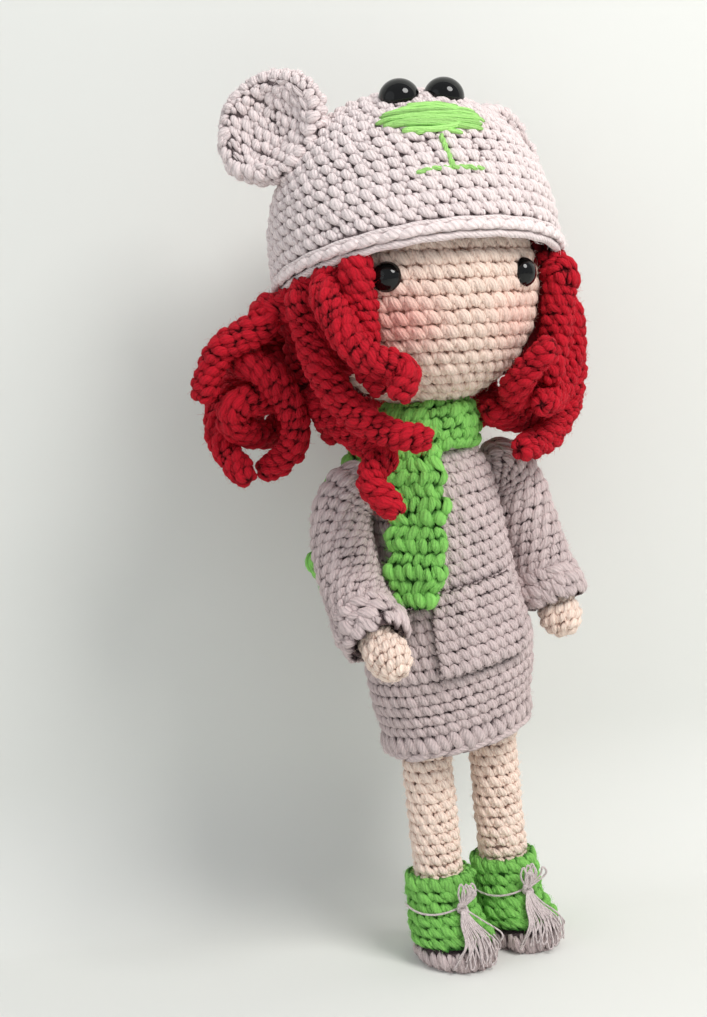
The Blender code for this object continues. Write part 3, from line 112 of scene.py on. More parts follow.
# Routes of the strands of hair from the brim on, in thousandths of HAIR_LENGTH: to the doll's left, back and up
RIGHT_STRANDS = [
    [(0, 3, -78), (13, 3, -157), (17, -2, -236), (16, -12, -316), (17, -24, -395)],
    [(-46, -50, -55), (-62, -113, -111), (-56, -169, -177), (-40, -216, -249), (-11, -259, -319),
     (38, -300, -376), (106, -339, -411), (181, -375, -434)],
    [(-50, -16, -70), (-36, -38, -156), (-23, -65, -241), (-13, -98, -324), (1, -137, -404),
     (22, -182, -479), (50, -231, -549), (88, -284, -611), (136, -338, -665), (197, -390, -705),
     (268, -437, -732), (345, -479, -750)],
    [(-60, 45, -29), (-105, 112, -33), (-138, 85, -104), (-211, 97, -141), (-280, 122, -179),
     (-337, 161, -223), (-377, 199, -284), (-402, 230, -355), (-420, 258, -431)],
    [(35, -3, -80), (69, 31, -150), (66, 35, -237), (62, 13, -320), (67, -33, -394), (75, -90, -460),
     (88, -154, -517), (107, -225, -563), (128, -299, -604), (153, -371, -645), (183, -443, -685),
     (211, -515, -725), (207, -586, -771), (139, -616, -812), (93, -654, -874), (106, -706, -931),
     (139, -765, -985)],
    [(-30, 72, -38), (-49, 150, -68), (-92, 222, -89), (-147, 231, -154), (-223, 195, -175),
     (-284, 138, -193), (-322, 61, -205), (-343, -23, -215), (-342, -109, -225), (-312, -187, -247),
     (-262, -231, -300), (-215, -255, -369), (-179, -270, -446), (-152, -274, -529), (-143, -260, -614),
     (-160, -220, -688), (-195, -163, -741), (-237, -100, -784)],
    [(-19, 77, -37), (-59, 132, -90), (-91, 106, -160), (-144, 51, -203), (-187, -5, -254),
     (-231, -62, -303), (-279, -122, -344), (-334, -182, -375), (-405, -229, -385), (-487, -255, -385),
     (-562, -248, -425), (-551, -210, -499), (-489, -174, -543), (-412, -139, -563), (-334, -104, -575)],
    [(-34, 76, -31), (-82, 144, -61), (-135, 206, -96), (-202, 241, -139), (-278, 233, -183),
     (-353, 206, -224), (-427, 175, -261), (-501, 141, -297), (-568, 99, -337), (-622, 49, -387),
     (-660, -6, -444), (-687, -64, -506), (-700, -125, -569), (-700, -189, -630), (-690, -257, -686),
     (-674, -327, -738)],
    [(-37, -25, -79), (-81, -56, -151), (-130, -94, -217), (-182, -139, -277), (-232, -191, -331),
     (-277, -251, -383), (-312, -318, -433), (-336, -389, -483), (-354, -463, -533)],
]
LEFT_STRANDS = [
    [(20, -65, -50), (5, -61, -133), (-6, -57, -216), (-15, -55, -300), (-27, -54, -383), (-44, -54, -464),
     (-66, -56, -546)],
    [(55, -22, -64), (12, -20, -140), (-8, -6, -224), (-28, 2, -308), (-53, 6, -391), (-89, 2, -470),
     (-139, -12, -540), (-202, -41, -592), (-272, -84, -620), (-337, -141, -617), (-362, -211, -578),
     (-347, -273, -519), (-314, -323, -457), (-274, -367, -393)],
    [(53, -36, -62), (101, -81, -122), (112, -126, -196), (109, -134, -285), (91, -144, -371),
     (54, -168, -449), (5, -207, -512), (-55, -255, -557), (-119, -309, -587), (-185, -366, -605),
     (-253, -423, -619)],
    [(65, -22, -50), (129, -44, -100), (190, -67, -154), (237, -91, -220), (248, -114, -298),
     (233, -135, -379), (211, -158, -457), (181, -184, -531), (141, -215, -599), (90, -249, -657),
     (32, -287, -705), (-32, -328, -742), (-100, -370, -769), (-171, -413, -786), (-243, -456, -796),
     (-315, -499, -803)],
    [(58, -14, -60), (115, -28, -121), (163, -43, -189), (187, -60, -267), (186, -80, -349),
     (171, -109, -427), (153, -154, -496), (124, -210, -552), (78, -267, -593), (18, -322, -617),
     (-49, -372, -627), (-122, -415, -624), (-196, -453, -612), (-272, -486, -594), (-348, -517, -575)],
    [(5, -11, -88), (9, -26, -177), (8, -49, -263), (3, -88, -343), (-10, -142, -412), (-35, -209, -466),
     (-73, -279, -504), (-122, -349, -531), (-176, -417, -553)],
    [(10, 14, -83), (31, 42, -160), (54, 73, -236), (74, 99, -314), (89, 119, -395), (101, 138, -476),
     (131, 176, -545), (180, 243, -555), (208, 282, -488), (212, 287, -405), (207, 279, -321),
     (198, 267, -237)],
    [(3, 8, -87), (11, 27, -173), (22, 57, -255), (33, 84, -337), (43, 108, -421), (52, 129, -506),
     (57, 144, -592), (61, 155, -679), (73, 185, -761), (102, 257, -798), (124, 313, -737), (127, 321, -651),
     (123, 312, -564), (117, 299, -477)],
    [(2, 18, -88), (6, 56, -169), (10, 91, -252), (14, 116, -338), (15, 135, -426), (20, 173, -507),
     (29, 255, -539), (36, 316, -475), (38, 328, -388), (37, 322, -299), (36, 312, -209)],
]
# The ends of these strands close their curls further than the plain solids do
FURTHER = {
    ("right", 1): [(40, 20, -440), (66, 30, -500), (80, -10, -550)],
    ("right", 2): [(201, -406, -485), (171, -406, -537)],
    ("right", 7): [(-269, -85, -570), (-206, -56, -532), (-170, -10, -471), (-174, 54, -418),
        (-205, 128, -391), (-247, 184, -416), (-265, 205, -476)],
}

SOLE_MID = HEEL_SETBACK - SOLE_LENGTH / 2
SOLE_SLOPE = (SOLE_TOE_HEIGHT - SOLE_HEEL_HEIGHT) / SOLE_LENGTH
ANKLE_RADIUS = LEG_RADIUS + GAP + BOOT_WALL
FOOT_HEIGHT = SOLE_HEEL_HEIGHT + SOLE_SLOPE * HEEL_SETBACK + GAP
LEG_TOP = FOOT_HEIGHT + LEG_LENGTH
TRUNK_BOTTOM = LEG_TOP + GAP
SKIRT_BOTTOM = TRUNK_BOTTOM - HIP_CLEARANCE
SKIRT_TOP = SKIRT_BOTTOM + SKIRT_LENGTH
SWEATER_BOTTOM = SKIRT_TOP - SKIRT_TUCK
SWEATER_TOP = SWEATER_BOTTOM + SWEATER_HEIGHT
NECK_PIVOT = SWEATER_TOP + NECK_REVEAL
HEAD_RISE = CHIN_CLEARANCE + HEAD_RADIUS
WIG_INNER = HEAD_RADIUS + WIG_FIT
WIG_OUTER = WIG_INNER + WIG_WALL
HAT_RADIUS = WIG_OUTER + GAP + HAT_WALL
STRAND_RING = WIG_INNER + STRAND_RADIUS
SHOULDER_HEIGHT = SWEATER_BOTTOM + SHOULDER_HEIGHT_IN_SWEATER

# The doll's place in the frame, read from a boot's sole
low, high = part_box("boot_sole_right")
OFF = Vector(((low.x + high.x) / 2 + LEG_SPACING / 2, (low.y + high.y) / 2 - SOLE_MID, 0))
DOLL = Matrix.Translation(OFF)
HEAD = DOLL @ Matrix.Translation((0, 0, NECK_PIVOT)) @ Matrix.Rotation(HEAD_TILT, 4, "Y")
TO_HEAD = Matrix.Translation((0, 0, HEAD_RISE)) @ Matrix.Rotation(-HAT_TILT, 4, "X")
WIG = HEAD @ TO_HEAD
HAT = WIG @ Matrix.Rotation(-HAT_TURN, 4, "Z")


# ---------------------------------------------------------------- lines and surfaces

def along_shares(stations, share):
    """Read a table whose first column is a share, with a smooth line between its rows."""
    low = max(0, min(len(stations) - 2, sum(1 for row in stations if row[0] <= share) - 1))
    rows = [stations[max(0, min(len(stations) - 1, low + k))] for k in (-1, 0, 1, 2)]
    span = rows[2][0] - rows[1][0]
    t = (share - rows[1][0]) / span if span else 0
    found = []
    for before, start, end, after in list(zip(*rows))[1:]:
        leaving = (end - before) * span / max(rows[2][0] - rows[0][0], span)
        arriving = (after - start) * span / max(rows[3][0] - rows[1][0], span)
        found.append(
            (2 * t**3 - 3 * t**2 + 1) * start + (t**3 - 2 * t**2 + t) * leaving
            + (3 * t**2 - 2 * t**3) * end + (t**3 - t**2) * arriving
        )
    return found


def read_at(at, run, table):
    """Rows of a table, read at places between its own."""
    return np.stack([np.interp(at, run, table[:, k]) for k in range(table.shape[1])], 1)


def run_of(line):
    """How far along a line each of its points is."""
    return np.concatenate([[0], np.cumsum(np.linalg.norm(np.diff(line, axis=0), axis=1))])


def smooth(points, count):
    """Evenly spaced points on a smooth line through the given ones."""
    p = np.array([list(q) for q in points], float)
    p = np.vstack([2 * p[:1] - p[1:2], p, 2 * p[-1:] - p[-2:-1]])
    t = np.linspace(0, 1, 12, endpoint=False)[:, None]
    parts = [
        ((-t**3 + 2 * t**2 - t) * a + (3 * t**3 - 5 * t**2 + 2) * b
         + (-3 * t**3 + 4 * t**2 + t) * c + (t**3 - t**2) * d) / 2
        for a, b, c, d in zip(p, p[1:], p[2:], p[3:])
    ]
    line = np.vstack(parts + [p[-2:-1]])
    run = run_of(line)
    return read_at(np.linspace(0, run[-1], count), run, line)


def unit(v):
    return v / np.maximum(np.linalg.norm(v, axis=-1, keepdims=True), 1e-12)


def placed(points, matrix):
    """Points moved by a 4x4 matrix."""
    m = np.array(matrix)
    return points @ m[:3, :3].T + m[:3, 3]


class Loft:
    """A smooth skin through rings of points, read by turn (round) and share (along)."""

    def __init__(self, rings, closed=True, steps=72):
        rings = np.asarray(rings, float)
        leap = np.linalg.norm(np.diff(rings, axis=0), axis=2).mean(1)
        run = np.concatenate([[0], np.cumsum(leap)])
        flat = read_at(np.linspace(0, run[-1], steps), run, rings.reshape(len(rings), -1))
        self.rings = flat.reshape(steps, -1, 3)
        self.length, self.closed, self.sign = run[-1], closed, 1
        around = np.concatenate([self.rings, self.rings[:, :1]], 1) if closed else self.rings
        self.perimeters = np.linalg.norm(np.diff(around, axis=1), axis=2).sum(1)
        turn, share = (v.ravel() for v in np.meshgrid(np.linspace(0.05, 0.95, 12), np.linspace(0.1, 0.9, 9)))
        places, normals = self.frame(turn, share)
        centre = read_at(share, np.linspace(0, 1, steps), self.rings.mean(1))
        if closed and ((places - centre) * normals).sum() < 0:
            self.sign = -1

    def at(self, turn, share):
        rows, columns = self.rings.shape[:2]
        s = share * (rows - 1)
        r = np.clip(np.floor(s).astype(int), 0, rows - 2)
        f = (s - r)[..., None]
        c = turn * (columns if self.closed else columns - 1)
        k = np.floor(c).astype(int)
        if not self.closed:
            k = np.clip(k, 0, columns - 2)
        g = (c - k)[..., None]
        k, n = k % columns, (k + 1) % columns
        here, ahead = (self.rings[row, k] * (1 - g) + self.rings[row, n] * g for row in (r, r + 1))
        return here * (1 - f) + ahead * f

    def frame(self, turn, share, reach=0.012):
        """Places and outward normals."""
        across = self.at(turn + reach, share) - self.at(turn - reach, share)
        up = self.at(turn, share + reach) - self.at(turn, share - reach)
        return self.at(turn, share), unit(np.cross(across, up)) * self.sign

    def perimeter(self, share):
        return float(np.interp(share, np.linspace(0, 1, len(self.perimeters)), self.perimeters))


def ring(half_x, half_y, height, middle=0.0, count=72):
    """A level ellipse."""
    a = np.linspace(0, 2 * PI, count, endpoint=False)
    return np.stack([half_x * np.cos(a), middle + half_y * np.sin(a), np.full(count, height)], 1)


def stacked(rings, matrix, **options):
    """A loft through rings that a matrix places."""
    return Loft([placed(points, matrix) for points in rings], **options)


def turned(profile, matrix, count=72, steps=72):
    """A loft from (radius, height) pairs about the Z axis of a matrix."""
    rows = [(max(r, 1e-5), h) for r, h in smooth(profile, 60)]
    return stacked([ring(r, r, h, 0, count) for r, h in rows], matrix, steps=steps)


def carried(line, first=None):
    """Sides and ups along a line, carried without twist."""
    ways = unit(np.gradient(line, axis=0))
    side = np.array(first if first is not None else Vector(ways[0]).orthogonal(), float)
    sides = []
    for way in ways:
        side = unit(side - way * side.dot(way))
        sides.append(side)
    return np.array(sides), np.cross(ways, sides)


def evened(points):
    """The same closed ring with its points evenly spaced."""
    loop = np.vstack([points, points[:1]])
    run = run_of(loop)
    return read_at(np.linspace(0, run[-1], len(points), endpoint=False), run, loop)


def rope(points, radii, matrix, count=28, steps=72, first=None):
    """A loft round a line; radii are (share, radius) pairs."""
    line = placed(smooth(points, 64), matrix)
    sides, ups = carried(line, first)
    radius = np.interp(np.linspace(0, 1, len(line)), *np.array(radii, float).T)[:, None, None]
    a = np.linspace(0, 2 * PI, count, endpoint=False)[None, :, None]
    return Loft(line[:, None] + (sides[:, None] * np.cos(a) + ups[:, None] * np.sin(a)) * radius, steps=steps)


# ---------------------------------------------------------------- yarn

def grid_quads(rows, columns, loop):
    r = np.arange(rows - 1)[:, None] * columns
    k = np.arange(columns if loop else columns - 1)[None, :]
    n = (k + 1) % columns
    return np.stack([r + k, r + n, r + columns + n, r + columns + k], -1).reshape(-1, 4)


class Yarn:
    """Collects faces with their place along the yarn and their tone (a random share, how far out they stand, which
    sets the painted groove shade, and the blush), then makes one mesh.
    """

    def __init__(self, name):
        self.name, self.points, self.quads, self.ply, self.tone, self.count = name, [], [], [], [], 0

    def add(self, points, quads, ply=None, tone=None, flip=False):
        none = np.zeros((len(points), 3))
        self.points.append(points)
        self.quads.append((quads[:, ::-1] if flip else quads) + self.count)
        self.ply.append(none if ply is None else ply)
        self.tone.append(none if tone is None else tone)
        self.count += len(points)

    def fuzz(self):
        """Loose fibres that stand off the strands as thin curved slivers."""
        points, quads, tone = np.vstack(self.points), np.vstack(self.quads), np.vstack(self.tone)
        corner = points[quads]
        cross = np.cross(corner[:, 2] - corner[:, 0], corner[:, 3] - corner[:, 1])
        area = np.linalg.norm(cross, axis=1) / 2
        area[tone[quads[:, 0], 1] < 0.3] = 0
        random = np.random.default_rng(900 + len(quads))
        count = int(min(area.sum() * FUZZ * 1e6, (MOST_TRIANGLES - 2 * len(quads)) / 4))
        if count < 1:
            return
        chosen = random.choice(len(quads), count, p=area / area.sum())
        out = unit(cross[chosen])
        root = corner[chosen].mean(1)
        along = unit(np.cross(out, unit(random.normal(size=(count, 3)))))
        side = unit(np.cross(along, unit(random.normal(size=(count, 3)))))
        reach = (FIBRE_LENGTH * random.uniform(0.4, 1.0, count))[:, None]
        rise, curl = random.uniform(0.15, 0.8, (count, 1)), random.normal(0, 0.35, (count, 1))
        rows = []
        for share in (0.0, 0.5, 1.0):
            climb = out * rise * share * (1.15 - 0.6 * share)
            spine = root + reach * (along * share + climb + np.cross(along, out) * curl * share**2)
            half = side * FIBRE_WIDTH / 2 * (1 - 0.5 * share)
            rows += [spine - half, spine + half]
        each = np.array([[0, 1, 3, 2], [2, 3, 5, 4]])
        faces = (each[None] + 6 * np.arange(count)[:, None, None]).reshape(-1, 4)
        shade = np.repeat(tone[quads[chosen, 0]][:, None], 6, 1)
        shade[..., 1] = 1.0
        self.add(np.stack(rows, 1).reshape(-1, 3), faces, tone=shade.reshape(-1, 3))

    def make(self, material):
        points, quads = np.vstack(self.points), np.vstack(self.quads)
        mesh = bpy.data.meshes.new(self.name)
        mesh.vertices.add(len(points))
        mesh.vertices.foreach_set("co", points.astype(np.float32).ravel())
        mesh.loops.add(quads.size)
        mesh.loops.foreach_set("vertex_index", quads.astype(np.int32).ravel())
        mesh.polygons.add(len(quads))
        mesh.polygons.foreach_set("loop_start", np.arange(0, quads.size, 4, dtype=np.int32))
        mesh.update(calc_edges=True)
        for name, rows in (("ply", self.ply), ("tone", self.tone)):
            layer = mesh.attributes.new(name, "FLOAT_VECTOR", "POINT")
            layer.data.foreach_set("vector", np.vstack(rows).astype(np.float32).ravel())
        mesh.shade_smooth()
        mesh.materials.append(material)
        made = bpy.data.objects.new(self.name, mesh)
        bpy.context.collection.objects.link(made)
        return made


def tube(path, wide, deep, sides, rings, arc=105):
    """The outer part of one strand in a flat cell: x across, y up, z out, all in mm."""
    line = smooth(path, rings) * MM
    at = np.linspace(0, 1, rings), np.linspace(0, 1, len(wide))
    wide, deep = np.interp(*at, wide) * MM, np.interp(*at, deep) * MM
    ways = unit(np.gradient(line, axis=0))
    out = unit(np.array([0, 0, 1.0]) - ways * ways[:, 2:])
    side = np.cross(ways, out)
    angles = np.radians(np.linspace(-arc, arc, sides + 1))
    points = (line[:, None] + side[:, None] * np.sin(angles)[None, :, None] * wide[:, None, None]
              + out[:, None] * np.cos(angles)[None, :, None] * deep[:, None, None])
    ply = np.stack(np.broadcast_arrays(run_of(line)[:, None], angles[None] * wide.max(), 0.0), -1)
    return points.reshape(-1, 3), grid_quads(rings, sides + 1, False), ply.reshape(-1, 3)


def template(width, height, fat, *strands):
    """One stitch of a nominal size in mm. Each strand has its sides, its rings and its rows: places across and
    up in shares of the stitch, the place out in mm, and half the width and the thickness over fat."""
    points, quads, ply, count = [], [], [], 0
    for sides, rings, rows in strands:
        x, y, z, wide, deep = np.array(rows, float).T
        p, q, y = tube(np.stack([x * width, y * height, z], 1), wide * fat, deep * fat, sides, rings)
        y[:, 2] = len(points)
        points.append(p)
        quads.append(q + count)
        ply.append(y)
        count += len(p)
    points, quads, ply = np.vstack(points), np.vstack(quads), np.vstack(ply)
    # How far out each point stands; the yarn material paints shade where this is low
    depth = np.clip(points[:, 2] / points[:, 2].max(), 0, 1)
    return {"width": width * MM, "height": height * MM, "points": points, "quads": quads, "ply": ply, "depth": depth}


def single(width, height, fat=1.0, detail=1, bead=1.0, flat=1.0):
    """A single crochet stitch: a plump slanting leg, a thinner one beside it and the bead below."""
    a, b = (7, 9) if detail else (6, 7)
    leg = [(-0.10, 0.88, -0.4, 0.7, 0.5), (0.16, 0.84, 0.5, 1.3, 1.0), (0.48, 0.50, 0.8, 1.5, 1.1),
           (0.80, 0.16, 0.4, 1.2, 0.9), (0.96, -0.05, -0.5, 0.6, 0.5)]
    leg = [(x, 0.5 + (y - 0.5) * flat, *rest) for x, y, *rest in leg]
    return template(
        width, height, fat * height / 4.2, (a, b, leg),
        (a - 2, b - 2, [(0.80, 1.12, -0.4, 0.5, 0.4), (0.92, 0.80, 0.45, 1.0, 0.9),
                        (1.04, 0.45, 0.25, 0.95, 0.9), (1.00, 0.12, -0.4, 0.5, 0.4)]),
        (a - 2, b - 3, [(-0.10, 0.46, -0.4, 0.6, 0.5), (0.10, 0.24, 0.35, 1.1 * bead, 1.0 * bead),
                        (0.36, 0.02, -0.4, 0.6, 0.4)]))


def lattice(width, height, fat=1.0):
    """A round lobe, a bead at its lower left and a thin strand over to the next lobe."""
    return template(
        width, height, fat * height / 4.3,
        (7, 9, [(0.08, 0.98, -0.3, 0.8, 0.5), (0.28, 0.84, 0.6, 1.45, 1.05), (0.54, 0.56, 0.9, 1.6, 1.2),
                (0.78, 0.28, 0.5, 1.35, 1.0), (0.86, 0.06, -0.4, 0.7, 0.5)]),
        (6, 7, [(-0.16, 0.48, -0.4, 0.6, 0.5), (0, 0.25, 0.75, 1.2, 1.05), (0.16, 0, -0.4, 0.6, 0.5)]),
        (5, 7, [(0.52, 1.10, -0.3, 0.5, 0.4), (0.80, 0.96, 0.5, 0.95, 0.85), (1.0, 0.72, 0.45, 1.0, 0.9),
                (1.10, 0.46, -0.3, 0.5, 0.4)]))


def leaf(width, height, fat):
    """One leg of a pair of ridges, as worked on the scarf and on the hem."""
    return template(
        width, height, fat,
        (7, 10, [(0.02, 1.08, -0.4, 0.6, 0.5), (0.24, 0.76, 0.6, 1.15, 1.0), (0.56, 0.36, 0.75, 1.25, 1.15),
                 (0.80, -0.06, -0.3, 0.7, 0.6)]),
        (5, 8, [(0.80, 1.10, -0.4, 0.5, 0.4), (0.93, 0.68, 0.4, 0.95, 0.9), (1.0, 0.34, 0.3, 0.9, 0.85),
                (0.96, -0.04, -0.4, 0.5, 0.4)]))


FACE_STITCH = single(4.8, 4.4, 1.14, flat=0.78, bead=0.9)
CLOTH_STITCH = single(3.3, 3.8, 0.98, bead=0.9)
SLEEVE_STITCH = single(3.5, 3.4)
LIMB_STITCH = single(3.6, 3.5, 1.02)
HAND_STITCH = single(3.0, 2.9, 1.05)
CUFF_STITCH = single(4.0, 3.8, 1.12)
BOOT_STITCH = single(3.9, 3.9, 1.02)
SOLE_STITCH = single(3.4, 3.1, 1.05)
ROPE_STITCH = single(3.6, 3.2, 1.12, detail=0)
WRAP_STITCH = single(3.9, 3.9, 1.08)
HAT_STITCH, EAR_STITCH = lattice(4.8, 4.35), lattice(4.1, 3.8, 1.05)
LEAF_STITCH, HEM_STITCH = leaf(3.4, 4.1, 1.05), leaf(3.5, 7.6, 1.15)
CHAIN = template(6.4, 2.4, 1.0, (7, 14, [
    (-0.45, 0.22, -0.35, 0.4, 0.4), (0, 0.40, 0.45, 0.85, 0.9), (0.55, 0.58, 0.65, 0.95, 1.0),
    (1.25, 0.80, -0.35, 0.5, 0.5)]))


def lay(yarn, loft, stitch, start=0.0, stop=1.0, lift=0.0, rough=1.0, keep=None, stagger=0.5, seed=1, mask=None,
        upright=True, mirror=False, rows=None, tall=1.0):
    """Cover part of a loft with rows of one stitch."""
    random = np.random.default_rng(seed)
    count = rows or max(1, round(loft.length * (stop - start) / stitch["height"]))
    step = (stop - start) / count
    x, y, z = stitch["points"].T
    x, y = x / stitch["width"], y / stitch["height"]
    x, y = 1 - x if mirror else x, y if upright else 1 - y
    dx, dy = (x - 0.5)[None], (y - 0.5)[None]
    for row in range(count):
        share0 = start + step * row
        number = max(3, round(loft.perimeter(share0 + step / 2) / stitch["width"]))
        index = np.arange(number) + (stagger * row) % 1.0 * (1 if loft.closed else 0)
        angle = random.normal(0, 0.07 * rough, number)[:, None]
        size = random.normal(1, 0.06 * rough, number)[:, None]
        slide = random.normal(0, 0.035 * rough, (2, number))[..., None]
        gx = 0.5 + dx * np.cos(angle) * size - dy * np.sin(angle) + slide[0]
        gy = 0.5 + dx * np.sin(angle) + dy * np.cos(angle) * size * tall + slide[1]
        place, normal = loft.frame((index[:, None] + gx) / number, share0 + gy * step)
        rise = z[None] * random.normal(1, 0.07 * rough, number)[:, None] + lift
        points = place + normal * rise[..., None]
        if keep is not None:
            points = points[keep(points.mean(1))]
        if not len(points):
            continue
        number, each = points.shape[:2]
        quads = stitch["quads"][None] + (np.arange(number) * each)[:, None, None]
        ply = np.broadcast_to(stitch["ply"][None], (number, each, 3)).copy()
        shade = random.random(number)
        ply[..., 2] += shade[:, None] * 7
        tone = np.zeros((number, each, 3))
        tone[..., 0] = shade[:, None]
        # How far out each point of the stitch stands, which sets its painted groove shade
        tone[..., 1] = stitch["depth"][None]
        if mask is not None:
            tone[..., 2] = mask(points)
        flip = (loft.sign < 0) != (mirror != (not upright))
        yarn.add(points.reshape(-1, 3), quads.reshape(-1, 4), ply.reshape(-1, 3), tone.reshape(-1, 3), flip)


def backing(yarn, loft, depth=GROUND, inside=None, keep=None, mask=None, ends=False):
    """The ground under the stitches, which takes the full painted groove shade; inside is the depth of a second, inner
    skin.
    """
    rows = max(4, round(loft.length / (2.2 * MM)))
    columns = max(10, 2 * round(max(loft.perimeters) / (4.8 * MM)))
    turn = np.linspace(0, 1, columns, endpoint=not loft.closed)
    shares = np.linspace(0, 1, rows)
    sheets = [(shares, depth)]
    if inside is not None:
        sheets.append((shares[::-1], inside))
    points = []
    for values, sunk in sheets:
        t, s = np.meshgrid(turn, values)
        place, normal = loft.frame(t.ravel(), s.ravel())
        points.append((place - normal * sunk).reshape(len(values), columns, 3))
    if inside is not None:
        points.append(points[0][:1])
    grid = np.concatenate(points)
    quads = grid_quads(len(grid), columns, loft.closed)
    flat = grid.reshape(-1, 3)
    if ends:
        k = np.arange(columns // 2 - 1)
        for first in (0, (len(grid) - 1) * columns):
            lid = np.stack([k, k + 1, columns - k - 2, columns - k - 1], 1) + first
            quads = np.vstack([quads, lid if first else lid[:, ::-1]])
    if keep is not None:
        quads = quads[keep(flat)[quads].any(1)]
    t, s = np.meshgrid(turn, np.linspace(0, 1, len(grid)))
    ply = np.stack([t.ravel() * loft.perimeters.mean(), s.ravel() * loft.length, np.zeros(len(flat))], 1)
    # Every point is given no height out, so the material paints it wholly in the groove shade
    tone = np.zeros((len(flat), 3))
    tone[:, 0] = 0.5
    if mask is not None:
        tone[:, 2] = mask(flat)
    yarn.add(flat, quads, ply, tone, loft.sign < 0)


def thread(yarn, points, radius, matrix, sides=8, rings=None, taper=0.3, shade=0.5, first=None):
    """One free thread as a round tube with closed ends."""
    length = run_of(smooth(points, 200))[-1]
    rings = rings or max(6, round(length / (radius * 1.6)))
    line = placed(smooth(points, rings), matrix)
    side, up = carried(line, first)
    swell = np.ones(rings + 2)
    swell[[0, 1, 2, -3, -2, -1]] = [0.01, taper, max(0.85, taper), max(0.85, taper), taper, 0.01]
    line, side, up = (np.vstack([v[:1], v, v[-1:]])[:, None] for v in (line, side, up))
    angles = np.linspace(0, 2 * PI, sides + 1)
    around = side * np.cos(angles)[None, :, None] + up * np.sin(angles)[None, :, None]
    points = line + around * (swell * radius)[:, None, None]
    run = np.linspace(0, length, len(line))
    ply = np.stack(np.broadcast_arrays(run[:, None], angles[None] * radius, shade * 7), -1)
    tone = np.zeros(points.shape)
    tone[..., 0], tone[..., 1] = shade, 0.8
    yarn.add(points.reshape(-1, 3), grid_quads(len(line), sides + 1, False), ply.reshape(-1, 3), tone.reshape(-1, 3))


# ---------------------------------------------------------------- materials

def new_material(name):
    """A material, its shader, a helper that adds a node with its inputs set or linked, and the one that links."""
    made = bpy.data.materials.new(name)
    made.use_nodes = True
    tree = made.node_tree

    def node(kind, inputs=(), **values):
        found = tree.nodes.new("ShaderNode" + kind)
        for key, value in values.items():
            setattr(found, key, value)
        for key, value in dict(inputs).items():
            if isinstance(value, bpy.types.NodeSocket):
                tree.links.new(value, found.inputs[key])
            else:
                found.inputs[key].default_value = value
        return found

    return made, tree.nodes["Principled BSDF"], node, tree.links.new


def yarn_material(name, light, groove_shade, pitch=1.05, fibre=1.0, sheen=0.25, mask=None, lean=38, vary=0.10):
    """Spun yarn: twisted plies, fine fibres, and painted shade in the grooves between the stitches and on the ground
    under them.
    """
    made, shader, node, link = new_material(name)

    def calc(operation, *values):
        return node("Math", enumerate(values), operation=operation).outputs[0]

    def times(*pairs):
        """The sum of sockets, each times its share."""
        parts = [calc("MULTIPLY", socket, share) for socket, share in pairs]
        total = parts[0]
        for part in parts[1:]:
            total = calc("ADD", total, part)
        return total

    def dot(vector, *values):
        return node("VectorMath", {0: vector, 1: values}, operation="DOT_PRODUCT").outputs["Value"]

    def gathered(*values):
        return node("CombineXYZ", enumerate(values)).outputs[0]

    def noise(vector, scale, detail, rough=0.5):
        inputs = {"Vector": vector, "Scale": scale, "Detail": detail, "Roughness": rough}
        return node("TexNoise", inputs).outputs["Fac"]

    ply, tone = (node("Attribute", attribute_name=kind).outputs["Vector"] for kind in ("ply", "tone"))
    chance, depth, blush = node("SeparateXYZ", {0: tone}).outputs
    # Places on the strand in mm; the third share sets the plies and stitches apart
    a = math.radians(lean)
    along = dot(ply, math.cos(a) * 1000, math.sin(a) * 1000, 1.7)
    across = dot(ply, -math.sin(a) * 1000, math.cos(a) * 1000, 2.3)
    wander = noise(gathered(along, across), 0.6, 1)
    twist = calc("SINE", times((across, 2 * PI / pitch), (wander, 5.0)))
    wave = calc("POWER", calc("ADD", times((twist, 0.5)), 0.5), 0.6)
    hair = noise(gathered(times((along, 0.5 * fibre)), times((across, 5.5 * fibre)), chance), 1.0, 3, 0.6)
    lump = noise(node("TexCoord").outputs["Object"], 750, 4, 0.7)

    # Painted shade: the less a point stands out, the more it takes the groove shade colour
    ramp = node("MapRange", {"Value": depth, "From Max": 0.70}, interpolation_type="SMOOTHSTEP").outputs[0]
    colour = node("Mix", {0: ramp, "A": (*groove_shade, 1), "B": (*light, 1)}, data_type="RGBA").outputs["Result"]
    if mask is not None:
        rosy = calc("MULTIPLY", blush, calc("ADD", times((hair, 0.7)), 0.65))
        blend = {"data_type": "RGBA", "blend_type": "MULTIPLY", "clamp_factor": True}
        colour = node("Mix", {0: rosy, "A": colour, "B": (*mask, 1)}, **blend).outputs["Result"]
    # The twist wave paints shade into the grooves between the plies; the fibres, the lumps and each stitch's chance
    # vary the yarn's own tone
    value = calc("ADD", times((wave, 0.20), (hair, 0.55), (lump, 0.22), (chance, vary)), 0.53 - vary / 2)
    link(node("HueSaturation", {"Color": colour, "Value": value}).outputs[0], shader.inputs["Base Color"])
    height = times((wave, 0.55), (hair, 1.1), (lump, 1.3))
    bumped = node("Bump", {"Strength": 0.85, "Distance": 0.5 * MM, "Height": height})
    link(bumped.outputs[0], shader.inputs["Normal"])
    shader.inputs["Roughness"].default_value = 0.85
    shader.inputs["Specular IOR Level"].default_value = 0.3
    shader.inputs["Sheen Weight"].default_value = sheen
    shader.inputs["Sheen Roughness"].default_value = 0.4
    shader.inputs["Sheen Tint"].default_value = (*[min(1, c * 1.2 + 0.1) for c in light], 1)
    return made


